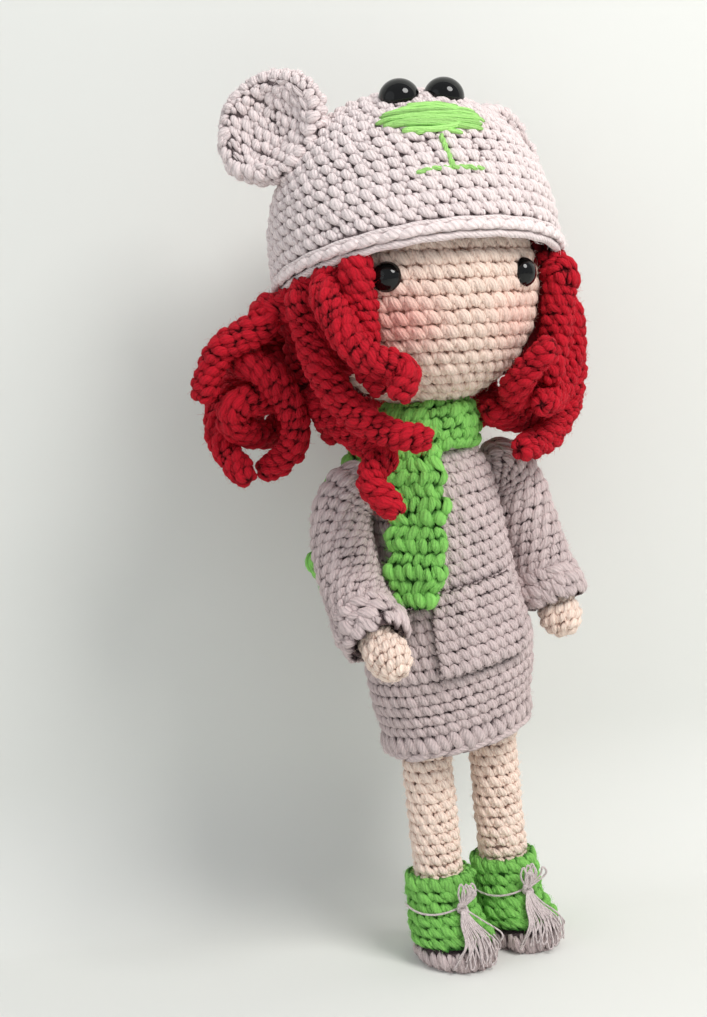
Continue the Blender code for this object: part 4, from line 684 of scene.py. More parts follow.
def plain_material(name, colour, roughness, noise=0.04, scale=900, bump=0.0, shine=0.35):
    """A smooth solid with faint variation of its own."""
    made, shader, node, link = new_material(name)
    place = node("TexCoord").outputs["Object"]
    speck = node("TexNoise", {"Vector": place, "Scale": scale, "Detail": 3}).outputs["Fac"]
    value = node("MapRange", {"Value": speck, "To Min": 1 - noise, "To Max": 1 + noise}).outputs[0]
    link(node("HueSaturation", {"Color": (*colour, 1), "Value": value}).outputs[0], shader.inputs["Base Color"])
    shader.inputs["Roughness"].default_value = roughness
    shader.inputs["Specular IOR Level"].default_value = shine
    if bump:
        bumped = node("Bump", {"Strength": bump, "Distance": 0.6 * MM, "Height": speck})
        link(bumped.outputs[0], shader.inputs["Normal"])
    return made


def srgb(*values):
    return tuple((v / 255 / 12.92) if v / 255 <= 0.04045 else ((v / 255 + 0.055) / 1.055) ** 2.4 for v in values)


# Each look is a material and its slot; the second colour of each yarn is the painted shade in its grooves and on its
# ground
PEACH = yarn_material(
    "peach_yarn_stitched", srgb(252, 228, 213), srgb(192, 146, 128), mask=srgb(247, 168, 168)), "peach_yarn"
LIMB_PEACH = yarn_material(
    "limb_peach_yarn_stitched", srgb(255, 231, 216), srgb(212, 172, 155), pitch=0.95), "peach_yarn"
MAUVE = yarn_material(
    "mauve_yarn_stitched", srgb(213, 195, 194), srgb(94, 77, 79), pitch=0.95, vary=0.14), "mauve_yarn"
PALE = yarn_material(
    "pale_mauve_yarn_stitched", srgb(246, 231, 230), srgb(172, 152, 153), vary=0.08), "pale_mauve_yarn"
RED = yarn_material(
    "red_yarn_stitched", srgb(192, 13, 36), srgb(104, 2, 14), pitch=0.9, sheen=0.0, vary=0.16), "red_yarn"
GREEN = yarn_material(
    "green_yarn_stitched", srgb(134, 202, 98), srgb(48, 112, 34), pitch=1.0, fibre=1.1, vary=0.18), "green_yarn"
THREAD_GREEN = yarn_material(
    "green_thread", srgb(174, 232, 132), srgb(66, 136, 42), pitch=0.8, fibre=1.5, lean=6, vary=0.50,
    sheen=0.1), "green_yarn"
TRIM = yarn_material("mauve_thread", srgb(222, 208, 207), srgb(150, 130, 132), pitch=0.7, lean=20), "mauve_yarn"
BLACK = plain_material("black_gloss_eye", (0.003, 0.003, 0.003), 0.04, shine=0.34), "black_gloss"
CLEAR = plain_material("clear_washer_plastic", (0.72, 0.72, 0.70), 0.35)
FILL = plain_material("fibrefill_wool", (0.86, 0.86, 0.84), 1.0, noise=0.12, scale=1200, bump=0.8)


def finish_piece(yarn, look, body, nodes=(), fuzz=True):
    """Make the mesh, let it ride on its body and stand for its CAD nodes."""
    if fuzz:
        yarn.fuzz()
    material, slot = look
    made = yarn.make(material)
    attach(made, body)
    if nodes:
        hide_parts(*nodes)
    return made


# ---------------------------------------------------------------- head and face

def eye_matrix(side):
    azimuth = side * EYE_AZIMUTH - EYE_TURN
    rise = math.asin(EYE_RISE / HEAD_RADIUS)
    out = Vector((math.sin(azimuth) * math.cos(rise), -math.cos(azimuth) * math.cos(rise), math.sin(rise)))
    turn = out.to_track_quat("Z", "Y").to_matrix().to_4x4()
    return HEAD @ Matrix.Translation(Vector((0, 0, HEAD_RISE)) + out * (HEAD_RADIUS + GAP)) @ turn


def button_eye(name, matrix, radius, height, body, node):
    """A domed plastic eye on its shank."""
    profile = [(0.0001, -SHANK_LENGTH), (SHANK_RADIUS, -SHANK_LENGTH), (SHANK_RADIUS, 0), (radius * 0.93, 0)]
    profile += [(radius, height * 0.16)]
    profile += [(radius * math.cos(a), height * math.sin(a)) for a in np.radians(np.linspace(14, 89, 14))]
    a = np.linspace(0, 2 * PI, 48, endpoint=False)
    grid = np.array([[(r * math.cos(t), r * math.sin(t), h) for t in a] for r, h in profile])
    yarn = Yarn(name)
    yarn.add(placed(grid.reshape(-1, 3), matrix), grid_quads(len(profile), len(a), True))
    made = finish_piece(yarn, BLACK, body, [node], fuzz=False)
    made.data.set_sharp_from_angle(angle=math.radians(50))


def blush(points):
    """How rosy the cheeks are at each point."""
    found = 0
    for side, strength in ((-1, 0.62), (1, 0.34)):
        azimuth, out = side * math.radians(34) - EYE_TURN, HEAD_RADIUS * 0.95
        centre = HEAD @ Vector((math.sin(azimuth) * out, -math.cos(azimuth) * out, HEAD_RISE - 0.0095))
        far = np.linalg.norm((points - np.array(centre)) / np.array((1, 1, 0.8)), axis=-1)
        found = found + strength * np.exp(-((far / 0.0120) ** 2))
    return np.clip(found, 0, 1)


def ball(radius, stop):
    """The head's skin from the neck's opening up to an angle."""
    start = math.asin((NECK_RADIUS + GAP) / HEAD_RADIUS)
    pairs = [(max(radius * math.sin(a), 1e-5), HEAD_RISE - radius * math.cos(a)) for a in np.linspace(start, stop, 60)]
    return stacked([ring(r, r, h, count=96) for r, h in pairs], HEAD, steps=90)


yarn = Yarn("head_stitches")
lay(yarn, ball(HEAD_RADIUS - SINK, PI * 0.68), FACE_STITCH, rough=0.9, stagger=0.3, seed=3, mask=blush)
backing(yarn, ball(HEAD_RADIUS, PI - 0.02), DEEP_SINK, inside=HEAD_WALL, mask=blush)
finish_piece(yarn, PEACH, "head", ["head_shell"])
for side, name in ((-1, "right"), (1, "left")):
    eye = f"face_eye_glossy_{name}", eye_matrix(side), FACE_EYE_RADIUS, FACE_EYE_HEIGHT
    button_eye(*eye, "head", f"face_eye_{name}")


# ---------------------------------------------------------------- hair

def strand_line(azimuth, steps):
    """Centre line of one strand in the head's frame: down from the brim, then along its route."""
    root = Vector((-STRAND_RING * math.sin(azimuth), -STRAND_RING * math.cos(azimuth), BRIM_LIFT - GAP))
    start = TO_HEAD @ root
    down = (TO_HEAD.to_3x3() @ Vector((0, 0, -1))).normalized()
    first = start + down * STRAND_RADIUS * 0.8
    return [start, first] + [first + Vector([v / 1000 for v in step]) * HAIR_LENGTH for step in steps]


def route_length(line):
    return sum((b - a).length for a, b in zip(line, line[1:]))


spread = 2 * (PI - HAIRLINE_ANGLE) / (2 * STRANDS_PER_SIDE - 1)
for name, side, table in (("right", 1, RIGHT_STRANDS), ("left", -1, LEFT_STRANDS)):
    for k in range(STRANDS_PER_SIDE):
        azimuth = side * (HAIRLINE_ANGLE + spread * k) - HAIR_TURN
        line = strand_line(azimuth, table[k] + FURTHER.get((name, k + 1), []))
        thin = STRAND_RADIUS * 0.83
        line.append(line[-1] + (line[-1] - line[-2]).normalized() * thin)
        cap = thin / route_length(line)
        radii = [(0, STRAND_RADIUS), (0.45, STRAND_RADIUS), (1 - cap, thin), (1 - cap * 0.5, thin * 0.86)]
        radii += [(1 - cap * 0.15, thin * 0.55), (1, thin * 0.05)]
        loft = rope(line, [(s, max(r - 0.0006, 0.0002)) for s, r in radii], HEAD)
        yarn = Yarn(f"curl_{name}_{k + 1}")
        lay(yarn, loft, ROPE_STITCH, stop=1 - cap * 0.25, rough=2.2, stagger=0.42, seed=400 + k + 40 * side,
            upright=k % 2 == 0, lift=-0.0001)
        backing(yarn, loft)
        finish_piece(yarn, RED, "head", [f"hair_strand_{name}_{k + 1}"])

# The wig cap: its edge is higher over the brow and lower behind the strands
turn = np.linspace(0, 2 * PI, 96, endpoint=False)
forward = np.clip((-np.sin(turn) - 0.50) / 0.12, 0, 1)
aside = 1 - np.clip((-np.sin(turn) - 0.44) / 0.10, 0, 1)
edge = math.asin(BRIM_LIFT / WIG_OUTER) + 0.20 * forward * forward * (3 - 2 * forward)
edge = edge - 0.80 * aside * aside * (3 - 2 * aside)
radius = WIG_OUTER - DEEP_SINK
climbs = [edge + (PI / 2 - 0.01 - edge) * s for s in np.linspace(0, 1, 40)]
wig = stacked(
    [np.stack([radius * np.cos(a) * np.cos(turn), radius * np.cos(a) * np.sin(turn), radius * np.sin(a)], 1)
     for a in climbs], WIG)
yarn = Yarn("wig_stitches")
lay(yarn, wig, ROPE_STITCH, stop=0.97, rough=1.5, seed=9)
backing(yarn, wig, 0.0006, inside=WIG_WALL - 0.0011)
finish_piece(yarn, RED, "head", ["wig_cap"])


# ---------------------------------------------------------------- hat

def hat_point(share):
    return along_shares(HAT_OUTLINE, share)[0] * HAT_RADIUS, BRIM_LIFT + HAT_CROWN * share


def hat_surface(azimuth, share, lift=0.0):
    """A point on the crown's outside and its outward direction."""
    radius, height = hat_point(share)
    above, below = hat_point(min(1, share + 0.01)), hat_point(share - 0.01)
    slope = Vector((above[1] - below[1], below[0] - above[0])).normalized()
    out = Vector((-math.sin(azimuth) * slope.x, -math.cos(azimuth) * slope.x, slope.y))
    return Vector((-radius * math.sin(azimuth), -radius * math.cos(azimuth), height)) + out * lift, out


def seat_matrix(place, out):
    across = Vector((0, 0, 1)).cross(out).normalized()
    return Matrix.Translation(place) @ Matrix((across, out.cross(across), out)).transposed().to_4x4()


def outside_crown(sink):
    """Which points lie outside the crown, less a sink."""
    widths, heights = np.array([hat_point(s) for s in np.linspace(0, 1, 60)]).T
    back = HAT.inverted()

    def test(points):
        local = placed(points, back)
        radius = np.hypot(local[..., 0], local[..., 1])
        beside = radius > np.interp(local[..., 2], heights, widths, right=0) - sink
        return beside | (local[..., 2] > heights[-1] - sink)
    return test


profile = [hat_point(s) for s in np.linspace(0.03, 0.998, 40)]
crown = turned([(max(r - DEEP_SINK, 0.0003), h) for r, h in profile], HAT, 128, 110)
yarn = Yarn("hat_stitches")
lay(yarn, crown, HAT_STITCH, start=0.045, stop=0.985, stagger=0.3, seed=5)
backing(yarn, crown, inside=HAT_WALL - 0.0012)
finish_piece(yarn, PALE, "hat", ["hat"])

# The brim: a smooth roll, a strand above it, and a chain of long loops over it
yarn = Yarn("hat_brim")
a = np.linspace(0, 2 * PI, 160)
for lift, sunk, thick in ((0.0003, 0.0009, 0.00125), (0.0045, 0.0002, 0.0008)):
    radius = hat_point(lift / HAT_CROWN)[0] - sunk
    roll = np.stack([np.cos(a) * radius, np.sin(a) * radius, BRIM_LIFT + lift + 0.00015 * np.sin(a * 23)], 1)
    thread(yarn, roll, thick, HAT, rings=300, first=(0, 0, 1))
brim = turned([(hat_point(s)[0] - 0.0007, hat_point(s)[1]) for s in (0.018, 0.045, 0.070)], HAT)
lay(yarn, brim, CHAIN, rows=1, rough=0.5, seed=12, lift=0.0001)
finish_piece(yarn, PALE, "hat")


def make_ear(name, azimuth, share, turn):
    out = Vector((-EAR_STAND * math.sin(azimuth), -EAR_STAND * math.cos(azimuth), BRIM_LIFT + HAT_CROWN * share))
    facing = Vector((-math.sin(turn), -math.cos(turn), 0.12)).normalized()
    seat = HAT @ seat_matrix(out, facing)
    half = EAR_THICKNESS / 2
    back = [(EAR_RADIUS * 0.55, -half * 0.95), (EAR_RADIUS * 0.9, -half * 0.45), (EAR_RADIUS, half * 0.2)]
    front = [(EAR_RADIUS * 0.93, half * 0.9), (EAR_RADIUS * 0.78, half), (EAR_RADIUS * 0.55, half - EAR_CUP * 0.6)]
    front += [(EAR_RADIUS * 0.28, half - EAR_CUP * 0.93), (0.0002, half - EAR_CUP)]
    loft = turned([(0.0002, -half)] + back + front, seat, 72, 90)
    # The cup is worked in straight rows, the back and the rim in rounds
    reach, twist, rows = EAR_RADIUS * 0.80, math.radians(-40), []
    for v in np.linspace(-0.97, 0.97, 32):
        half_row = math.sqrt(1 - v * v) * 0.98
        u = np.linspace(-half_row, half_row, 32)
        sunk = np.interp(np.hypot(u, v), (0, 0.35, 0.69, 0.98, 1.0), (1, 0.93, 0.6, 0.05, 0.02)) * EAR_CUP
        x = (u * math.cos(twist) - v * math.sin(twist)) * reach
        y = (u * math.sin(twist) + v * math.cos(twist)) * reach
        rows.append(np.stack([x, y, half - sunk], 1))
    yarn = Yarn(f"ear_stitches_{name}")
    outside = outside_crown(-0.0004)
    lay(yarn, stacked(rows, seat, closed=False), EAR_STITCH, rough=2.4, keep=outside, seed=31, lift=-SINK)
    stop = 1 - EAR_RADIUS * 0.84 / loft.length
    lay(yarn, loft, EAR_STITCH, 0.02, stop, rough=2.6, stagger=0.37, keep=outside, seed=33, lift=-0.0007)
    backing(yarn, loft, 0.0012, keep=outside_crown(0.0012))
    finish_piece(yarn, PALE, "hat", [f"hat_ear_{name}"])


make_ear("right", *RIGHT_EAR)
make_ear("left", *LEFT_EAR)
apart = math.asin(min(0.9, HAT_EYE_SPACING / 2 / hat_point(HAT_EYE_SHARE)[0]))
for side, name in ((1, "right"), (-1, "left")):
    seat = HAT @ seat_matrix(*hat_surface(HAT_EYE_TURN + side * apart, HAT_EYE_SHARE, GAP))
    button_eye(f"hat_eye_glossy_{name}", seat, HAT_EYE_RADIUS, HAT_EYE_HEIGHT, "hat", f"hat_eye_{name}")


def on_crown(x, y, lift, share):
    """A place drawn flat in front of the bear's face, wrapped round the crown."""
    return hat_surface(-x / hat_point(share)[0], share + y / HAT_CROWN, lift)[0]


yarn = Yarn("nose_satin")
random = np.random.default_rng(4)
for level in (np.arange(12) + 0.5) / 12 * 2 - 1:
    y = level * NOSE_HEIGHT / 2 * 0.94
    reach = NOSE_WIDTH / 2 * 0.94 * (1 - abs(level) ** 1.9) ** 0.5 + 0.0008 + random.normal(0, 0.0005)
    drift, wave, thick = random.normal(-0.0003, 0.0005), random.normal(0, 0.0004), random.uniform(0.00066, 0.00098)
    points = []
    for t in np.linspace(-1, 1, 9):
        x = t * reach
        bulge = math.sqrt(max(0, 1 - (x / (NOSE_WIDTH / 2 + 0.001)) ** 2)) * math.sqrt(max(0.05, 1 - level**2))
        lift = 0.0002 + (NOSE_THICKNESS - 0.0008) * bulge + random.normal(0, 0.00012)
        points.append(on_crown(x, y - 0.03 * x + drift * t + wave * math.cos(3 * t), lift, NOSE_SHARE))
    thread(yarn, points, thick, HAT, 10, 26, taper=0.5, shade=random.random(), first=(0, 0, 1))
finish_piece(yarn, THREAD_GREEN, "hat", ["hat_nose"], fuzz=False)


def two_ply(yarn, flat_points, turns):
    """Two plies twisted along a line drawn on the crown below the nose."""
    radius = 0.0006
    share = NOSE_SHARE - (NOSE_HEIGHT / 2 + GAP + MOUTH_THREAD / 2) / HAT_CROWN
    line = smooth([(x, y, 0) for x, y in flat_points], 40)
    for ply in (0, PI):
        points = []
        for k, (x, y, _) in enumerate(line):
            a = ply + 2 * PI * turns * k / (len(line) - 1)
            aside, lift = math.cos(a) * radius, radius + math.sin(a) * radius * 0.5
            points.append(on_crown(x + aside * 0.55, y + aside * 0.4, lift, share))
        thread(yarn, points, radius, HAT, rings=48, taper=0.4, first=(0, 0, 1))


yarn = Yarn("mouth_thread")
two_ply(yarn, [(0, 0.0006), (0.0004, -MOUTH_DROP * 0.55), (0.0010, -MOUTH_DROP)], 3)
two_ply(yarn, [(-MOUTH_WIDTH / 2, -MOUTH_DROP - 0.0006), (-MOUTH_WIDTH * 0.25, -MOUTH_DROP + 0.0002),
               (MOUTH_WIDTH * 0.2, -MOUTH_DROP), (MOUTH_WIDTH / 2, -MOUTH_DROP - 0.0008)], 4)
finish_piece(yarn, THREAD_GREEN, "hat", ["hat_mouth"], fuzz=False)


# ---------------------------------------------------------------- sweater, pocket, skirt, trunk

def sweater_axes(height, inset=0.0):
    share = max(0, min(1, (height - SWEATER_BOTTOM) / SWEATER_HEIGHT))
    wide, deep = along_shares(SWEATER_OUTLINE, share)
    return wide * SWEATER_WIDTH / 2 - inset, deep * SWEATER_DEPTH / 2 - inset


def skirt_axes(height, inset=0.0):
    if height >= SWEATER_BOTTOM - GAP:
        tuck = sweater_axes(SKIRT_TOP, SWEATER_WALL + 0.0006)
        return tuck[0] - inset, tuck[1] - inset
    share = (height - SKIRT_BOTTOM) / SKIRT_LENGTH
    wide, deep = along_shares(SKIRT_OUTLINE, min(share, SKIRT_OUTLINE[-1][0]))
    return wide * SKIRT_WIDTH / 2 - inset, deep * SKIRT_DEPTH / 2 - inset


def slanted(points, height):
    """Rows that climb towards the doll's left, as worn."""
    share = (height - SWEATER_BOTTOM) / SWEATER_HEIGHT
    points = points.copy()
    points[:, 2] += points[:, 0] * (0.12 if share < 0.5 else 0.12 * max(0.2, 1 - 1.7 * (share - 0.5)))
    return points


def worn(axes, inset, heights):
    """A garment's skin of level ellipses, slanted."""
    return stacked([slanted(ring(*axes(h, inset), h), h) for h in heights], DOLL)


sweater = worn(sweater_axes, SINK, np.linspace(SWEATER_BOTTOM, SWEATER_TOP, 48))
yarn = Yarn("sweater_stitches")
lay(yarn, sweater, CLOTH_STITCH, stagger=0.4, seed=7)
backing(yarn, sweater, inside=SWEATER_WALL - SINK)
finish_piece(yarn, MAUVE, "doll", ["sweater"])

low_z, rings = SWEATER_BOTTOM + POCKET_RISE, []
for h in np.linspace(low_z, low_z + POCKET_HEIGHT, 24):
    wide, deep = sweater_axes(h, -(0.0006 + POCKET_WALL * 0.55))
    narrow = 1 - 0.12 * ((h - low_z) / POCKET_HEIGHT) ** 2
    reach = math.asin(min(0.98, POCKET_WIDTH * narrow / 2 / wide))
    a = np.linspace(-PI / 2 - reach, -PI / 2 + reach, 30)
    rings.append(slanted(np.stack([wide * np.cos(a), deep * np.sin(a), np.full(30, h)], 1), h))
pocket = stacked(rings, DOLL, closed=False)
yarn = Yarn("pocket_stitches")
lay(yarn, pocket, CLOTH_STITCH, seed=8)
backing(yarn, pocket, inside=0.0014)
finish_piece(yarn, MAUVE, "doll", ["pocket"])

# The skirt: rows of cloth, a hem of long ridges, a chain at its edge, and the part tucked into the sweater
skirt = worn(skirt_axes, SINK, np.linspace(SKIRT_BOTTOM, SWEATER_BOTTOM - GAP * 1.1, 30))
hem = 0.29
yarn = Yarn("skirt_stitches")
lay(yarn, skirt, CLOTH_STITCH, start=hem, stagger=0.4, seed=14)
lay(yarn, skirt, HEM_STITCH, start=0.05, stop=hem + 0.02, rows=1, rough=1.3, seed=15, lift=0.0003)
lay(yarn, skirt, CHAIN, start=-0.02, stop=0.10, rows=1, rough=1.4, seed=16, lift=0.0002)
backing(yarn, skirt, inside=SKIRT_WALL - SINK)
tuck = worn(skirt_axes, 0.0004, np.linspace(SWEATER_BOTTOM - GAP, SKIRT_TOP, 6))
backing(yarn, tuck, 0.0, inside=SKIRT_WALL - SINK)
finish_piece(yarn, MAUVE, "doll", ["skirt"])


def trunk_axes(height):
    found = []
    if height > SWEATER_BOTTOM - SKIRT_TUCK:
        found.append(sweater_axes(height, SWEATER_WALL + GAP))
    if height < SKIRT_TOP + SKIRT_TUCK:
        found += [skirt_axes(min(h, SKIRT_TOP), SKIRT_WALL + GAP) for h in (height + SKIRT_TUCK, height)]
    return [max(NECK_RADIUS, min(a[k] for a in found)) for k in (0, 1)]


rings = [ring(0.0004, 0.0004, TRUNK_BOTTOM + 0.0002)]
rings += [ring(*[a * s for a in trunk_axes(TRUNK_BOTTOM)], TRUNK_BOTTOM) for s in (0.3, 0.6, 0.93)]
rings += [ring(*trunk_axes(h), h) for h in np.linspace(TRUNK_BOTTOM + 0.001, SWEATER_TOP - 0.0005, 50)]
neck = [ring(NECK_RADIUS, NECK_RADIUS, h) for h in np.linspace(0.0005, CHIN_CLEARANCE + 0.0060, 8)]
trunk = Loft([placed(r, DOLL) for r in rings] + [placed(r, HEAD) for r in neck], steps=120)
yarn = Yarn("trunk_stitches")
lay(yarn, trunk, LIMB_STITCH, start=0.02, stop=0.20, seed=17, lift=-0.0010)
lay(yarn, trunk, LIMB_STITCH, start=0.84, stop=1.0, seed=18, lift=-0.0010)
backing(yarn, trunk, SINK, ends=True)
finish_piece(yarn, LIMB_PEACH, "doll", ["trunk"])


# ---------------------------------------------------------------- arms

shoulder_x = sweater_axes(SHOULDER_HEIGHT - SLEEVE_RADIUS)[0] + GAP
for name, side, shares in (("right", -1, RIGHT_ARM + [RIGHT_HAND]), ("left", 1, LEFT_ARM + [LEFT_HAND])):
    place = DOLL @ Matrix.Translation((side * shoulder_x, SHOULDER_SETBACK, SHOULDER_HEIGHT))
    *route, hand = [Vector((side * out, -forward, -down)) * ARM_LENGTH for out, forward, down in shares]
    radii = [(0, 0.0004), (0.02, SLEEVE_RADIUS * 0.55), (0.06, SLEEVE_RADIUS * 0.8), (0.12, SLEEVE_RADIUS * 0.92)]
    radii += [(0.4, SLEEVE_RADIUS), (0.80, SLEEVE_RADIUS), (0.86, CUFF_RADIUS - 0.0006), (0.95, CUFF_RADIUS)]
    radii += [(1.0, CUFF_RADIUS - SINK)]
    loft = rope(route, [(s, max(r - SINK, 0.0003)) for s, r in radii], place, 40, 96, (0, 1, 0))
    yarn = Yarn(f"sleeve_stitches_{name}")
    lay(yarn, loft, SLEEVE_STITCH, 0.005, 0.83, rough=1.5, stagger=0.4, seed=50 + side, upright=False)
    lay(yarn, loft, CUFF_STITCH, 0.82, 1.01, rows=3, rough=3.0, stagger=0.37, seed=55 + side, lift=0.0003)
    backing(yarn, loft, inside=SLEEVE_WALL - 0.0012)
    finish_piece(yarn, MAUVE, f"arm_{name}", [f"sleeve_{name}"])

    wrist = route[-1]
    way, reach = (hand - wrist).normalized(), (hand - wrist).length + HAND_RADIUS
    core = SLEEVE_RADIUS - SLEEVE_WALL - GAP
    line = route[2:] + [wrist + way * reach * s for s in (0.30, 0.52, 0.75, 1.0)]
    at = 1 - reach / route_length(line)
    shape = (0.10, 0.86), (0.30, 0.97), (0.52, 1.0), (0.75, 0.84), (0.92, 0.50), (1.0, 0.03)
    radii = [(0, core), (at, core * 0.86)] + [(at + (1 - at) * s, HAND_RADIUS * r) for s, r in shape]
    loft = rope(line, [(s, max(r - 0.0005, 0.0002)) for s, r in radii], place, 32, 96, (0, 1, 0))
    yarn = Yarn(f"arm_stitches_{name}")
    lay(yarn, loft, HAND_STITCH, at - 0.06, 0.985, rough=1.4, seed=60 + side, upright=False, lift=-0.0004)
    backing(yarn, loft, 0.0005)
    finish_piece(yarn, LIMB_PEACH, f"arm_{name}", [f"arm_{name}"])


# ---------------------------------------------------------------- scarf

inner, outer = NECK_RADIUS + 0.0009, SCARF_WRAP_RADIUS
mid, base = (inner + outer) / 2, SWEATER_TOP + GAP * 2
profile = [
    (inner, base + SCARF_WRAP_HEIGHT * 0.9), (mid, base + SCARF_WRAP_HEIGHT),
    (outer * 0.97, base + SCARF_WRAP_HEIGHT * 0.62), (outer, base + SCARF_WRAP_HEIGHT * 0.25),
    (outer * 0.96, base - SCARF_WRAP_DROP * 0.35), (mid, base), (inner, base),
]
wrap = turned([(r - 0.0006, h) for r, h in profile], DOLL)
yarn = Yarn("scarf_wrap_stitches")
lay(yarn, wrap, WRAP_STITCH, start=0.04, stop=0.80, rough=2.6, seed=70)
backing(yarn, wrap)
finish_piece(yarn, GREEN, "doll", ["scarf_wrap"])


def tail(name, line, facing, taper, node, seed):
    """A hanging end of the scarf: a thin strip, and the ridged stitches worked on it."""
    line = placed(smooth(line, 72), DOLL)
    ways = unit(np.gradient(line, axis=0))
    across = unit(np.cross(ways, smooth(facing, 72)))
    deep = np.cross(across, ways)
    share = np.linspace(0, 1, 72)
    scallop = np.cos(share * 2 * PI * 5)
    width = np.interp(share, *np.array(taper).T) * (SCARF_WIDTH / 2 + 0.0009 * scallop) - 0.0005
    thick = SCARF_THICKNESS / 2 - 0.0006 + 0.0004 * scallop
    a = np.linspace(0, 2 * PI, 48, endpoint=False)
    x = np.sign(np.cos(a)) * np.abs(np.cos(a)) ** 0.45 * width[:, None]
    y = np.sign(np.sin(a)) * np.abs(np.sin(a)) ** 0.7 * thick[:, None]
    rings = line[:, None] + across[:, None] * x[..., None] + deep[:, None] * y[..., None]
    loft = Loft([evened(points) for points in rings])
    # The strip is the ground under the ridges and is painted in the groove shade
    strip = Yarn(f"{name}_strip")
    backing(strip, loft, SINK, ends=True)
    strip = finish_piece(strip, GREEN, name, [node], fuzz=False)
    yarn = Yarn(f"{name}_stitches")
    rows = 12
    for row in range(rows):
        lay(yarn, loft, LEAF_STITCH, row / rows, (row + 1) / rows, rows=1, rough=2.4, seed=seed + row,
            mirror=row % 2 == 1, tall=1.08, lift=0.0003 if row % 4 < 2 else -0.0002)
    yarn = finish_piece(yarn, GREEN, name)


wide, deep = sweater_axes(SWEATER_BOTTOM + POCKET_HEIGHT * 0.75)
angle = SCARF_FRONT_ANGLE + SCARF_FRONT_DRIFT
reach = 1 / math.hypot(math.sin(angle) / wide, math.cos(angle) / deep)
shares = np.linspace(0, 1, 11)
angles = SCARF_FRONT_ANGLE + SCARF_FRONT_DRIFT * FURTHER_DRIFT * shares
outs = [Vector((-math.sin(a), -math.cos(a), 0)) for a in angles]
far, near = reach + 0.0006 + SCARF_THICKNESS / 2 + POCKET_WALL, SCARF_WRAP_RADIUS + GAP * 2
line = [out * (near + (far - near) * t**0.7) + Vector((0, 0, SWEATER_TOP - SCARF_FRONT_LENGTH * t))
        for out, t in zip(outs, shares)]
taper = [(0, 0.62), (0.1, 0.84), (0.2, 0.95), (0.3, 1), (0.86, 1), (0.95, 0.85), (1.0, 0.5)]
tail("scarf_front", line, outs, taper, "scarf_tail_front", 80)
clear = SHOULDER_SETBACK + SLEEVE_RADIUS + GAP * 4 + SCARF_THICKNESS / 2
edge = sweater_axes(SHOULDER_HEIGHT - SLEEVE_RADIUS)[0]
line = [
    Vector((-SCARF_WRAP_RADIUS * 0.66, SCARF_WRAP_RADIUS * 0.86, SWEATER_TOP + SCARF_WRAP_HEIGHT * 0.25)),
    Vector((-edge * 0.92, clear, SWEATER_TOP - SCARF_BACK_LENGTH * 0.28)),
    Vector((-edge - SLEEVE_RADIUS * 0.78, clear, SWEATER_TOP - SCARF_BACK_LENGTH * 0.62)),
    Vector((-edge - SLEEVE_RADIUS * 0.94, clear, SWEATER_TOP - SCARF_BACK_LENGTH)),
]
taper = [(0, 0.45), (0.25, 0.82), (0.35, 1), (0.86, 1), (0.95, 0.85), (1.0, 0.5)]
tail("scarf_back", line, [Vector((0, 1, 0))] * 4, taper, "scarf_tail_back", 100)


# ---------------------------------------------------------------- legs and boots

def boot_station(share):
    width, toe, heel = along_shares(BOOT_OUTLINE, share)
    half = ANKLE_RADIUS + (SOLE_WIDTH / 2 - ANKLE_RADIUS) * width
    front = ANKLE_RADIUS + (SOLE_LENGTH - HEEL_SETBACK - ANKLE_RADIUS) * toe
    return half, front, ANKLE_RADIUS + (HEEL_SETBACK - ANKLE_RADIUS) * heel


def on_sole(points, lift):
    points = points.copy()
    points[:, 2] = SOLE_HEEL_HEIGHT + SOLE_SLOPE * (HEEL_SETBACK - points[:, 1]) + lift
    return points


def sole_ring(inset, height):
    return ring(SOLE_WIDTH / 2 - inset, SOLE_LENGTH / 2 - inset, height, SOLE_MID)


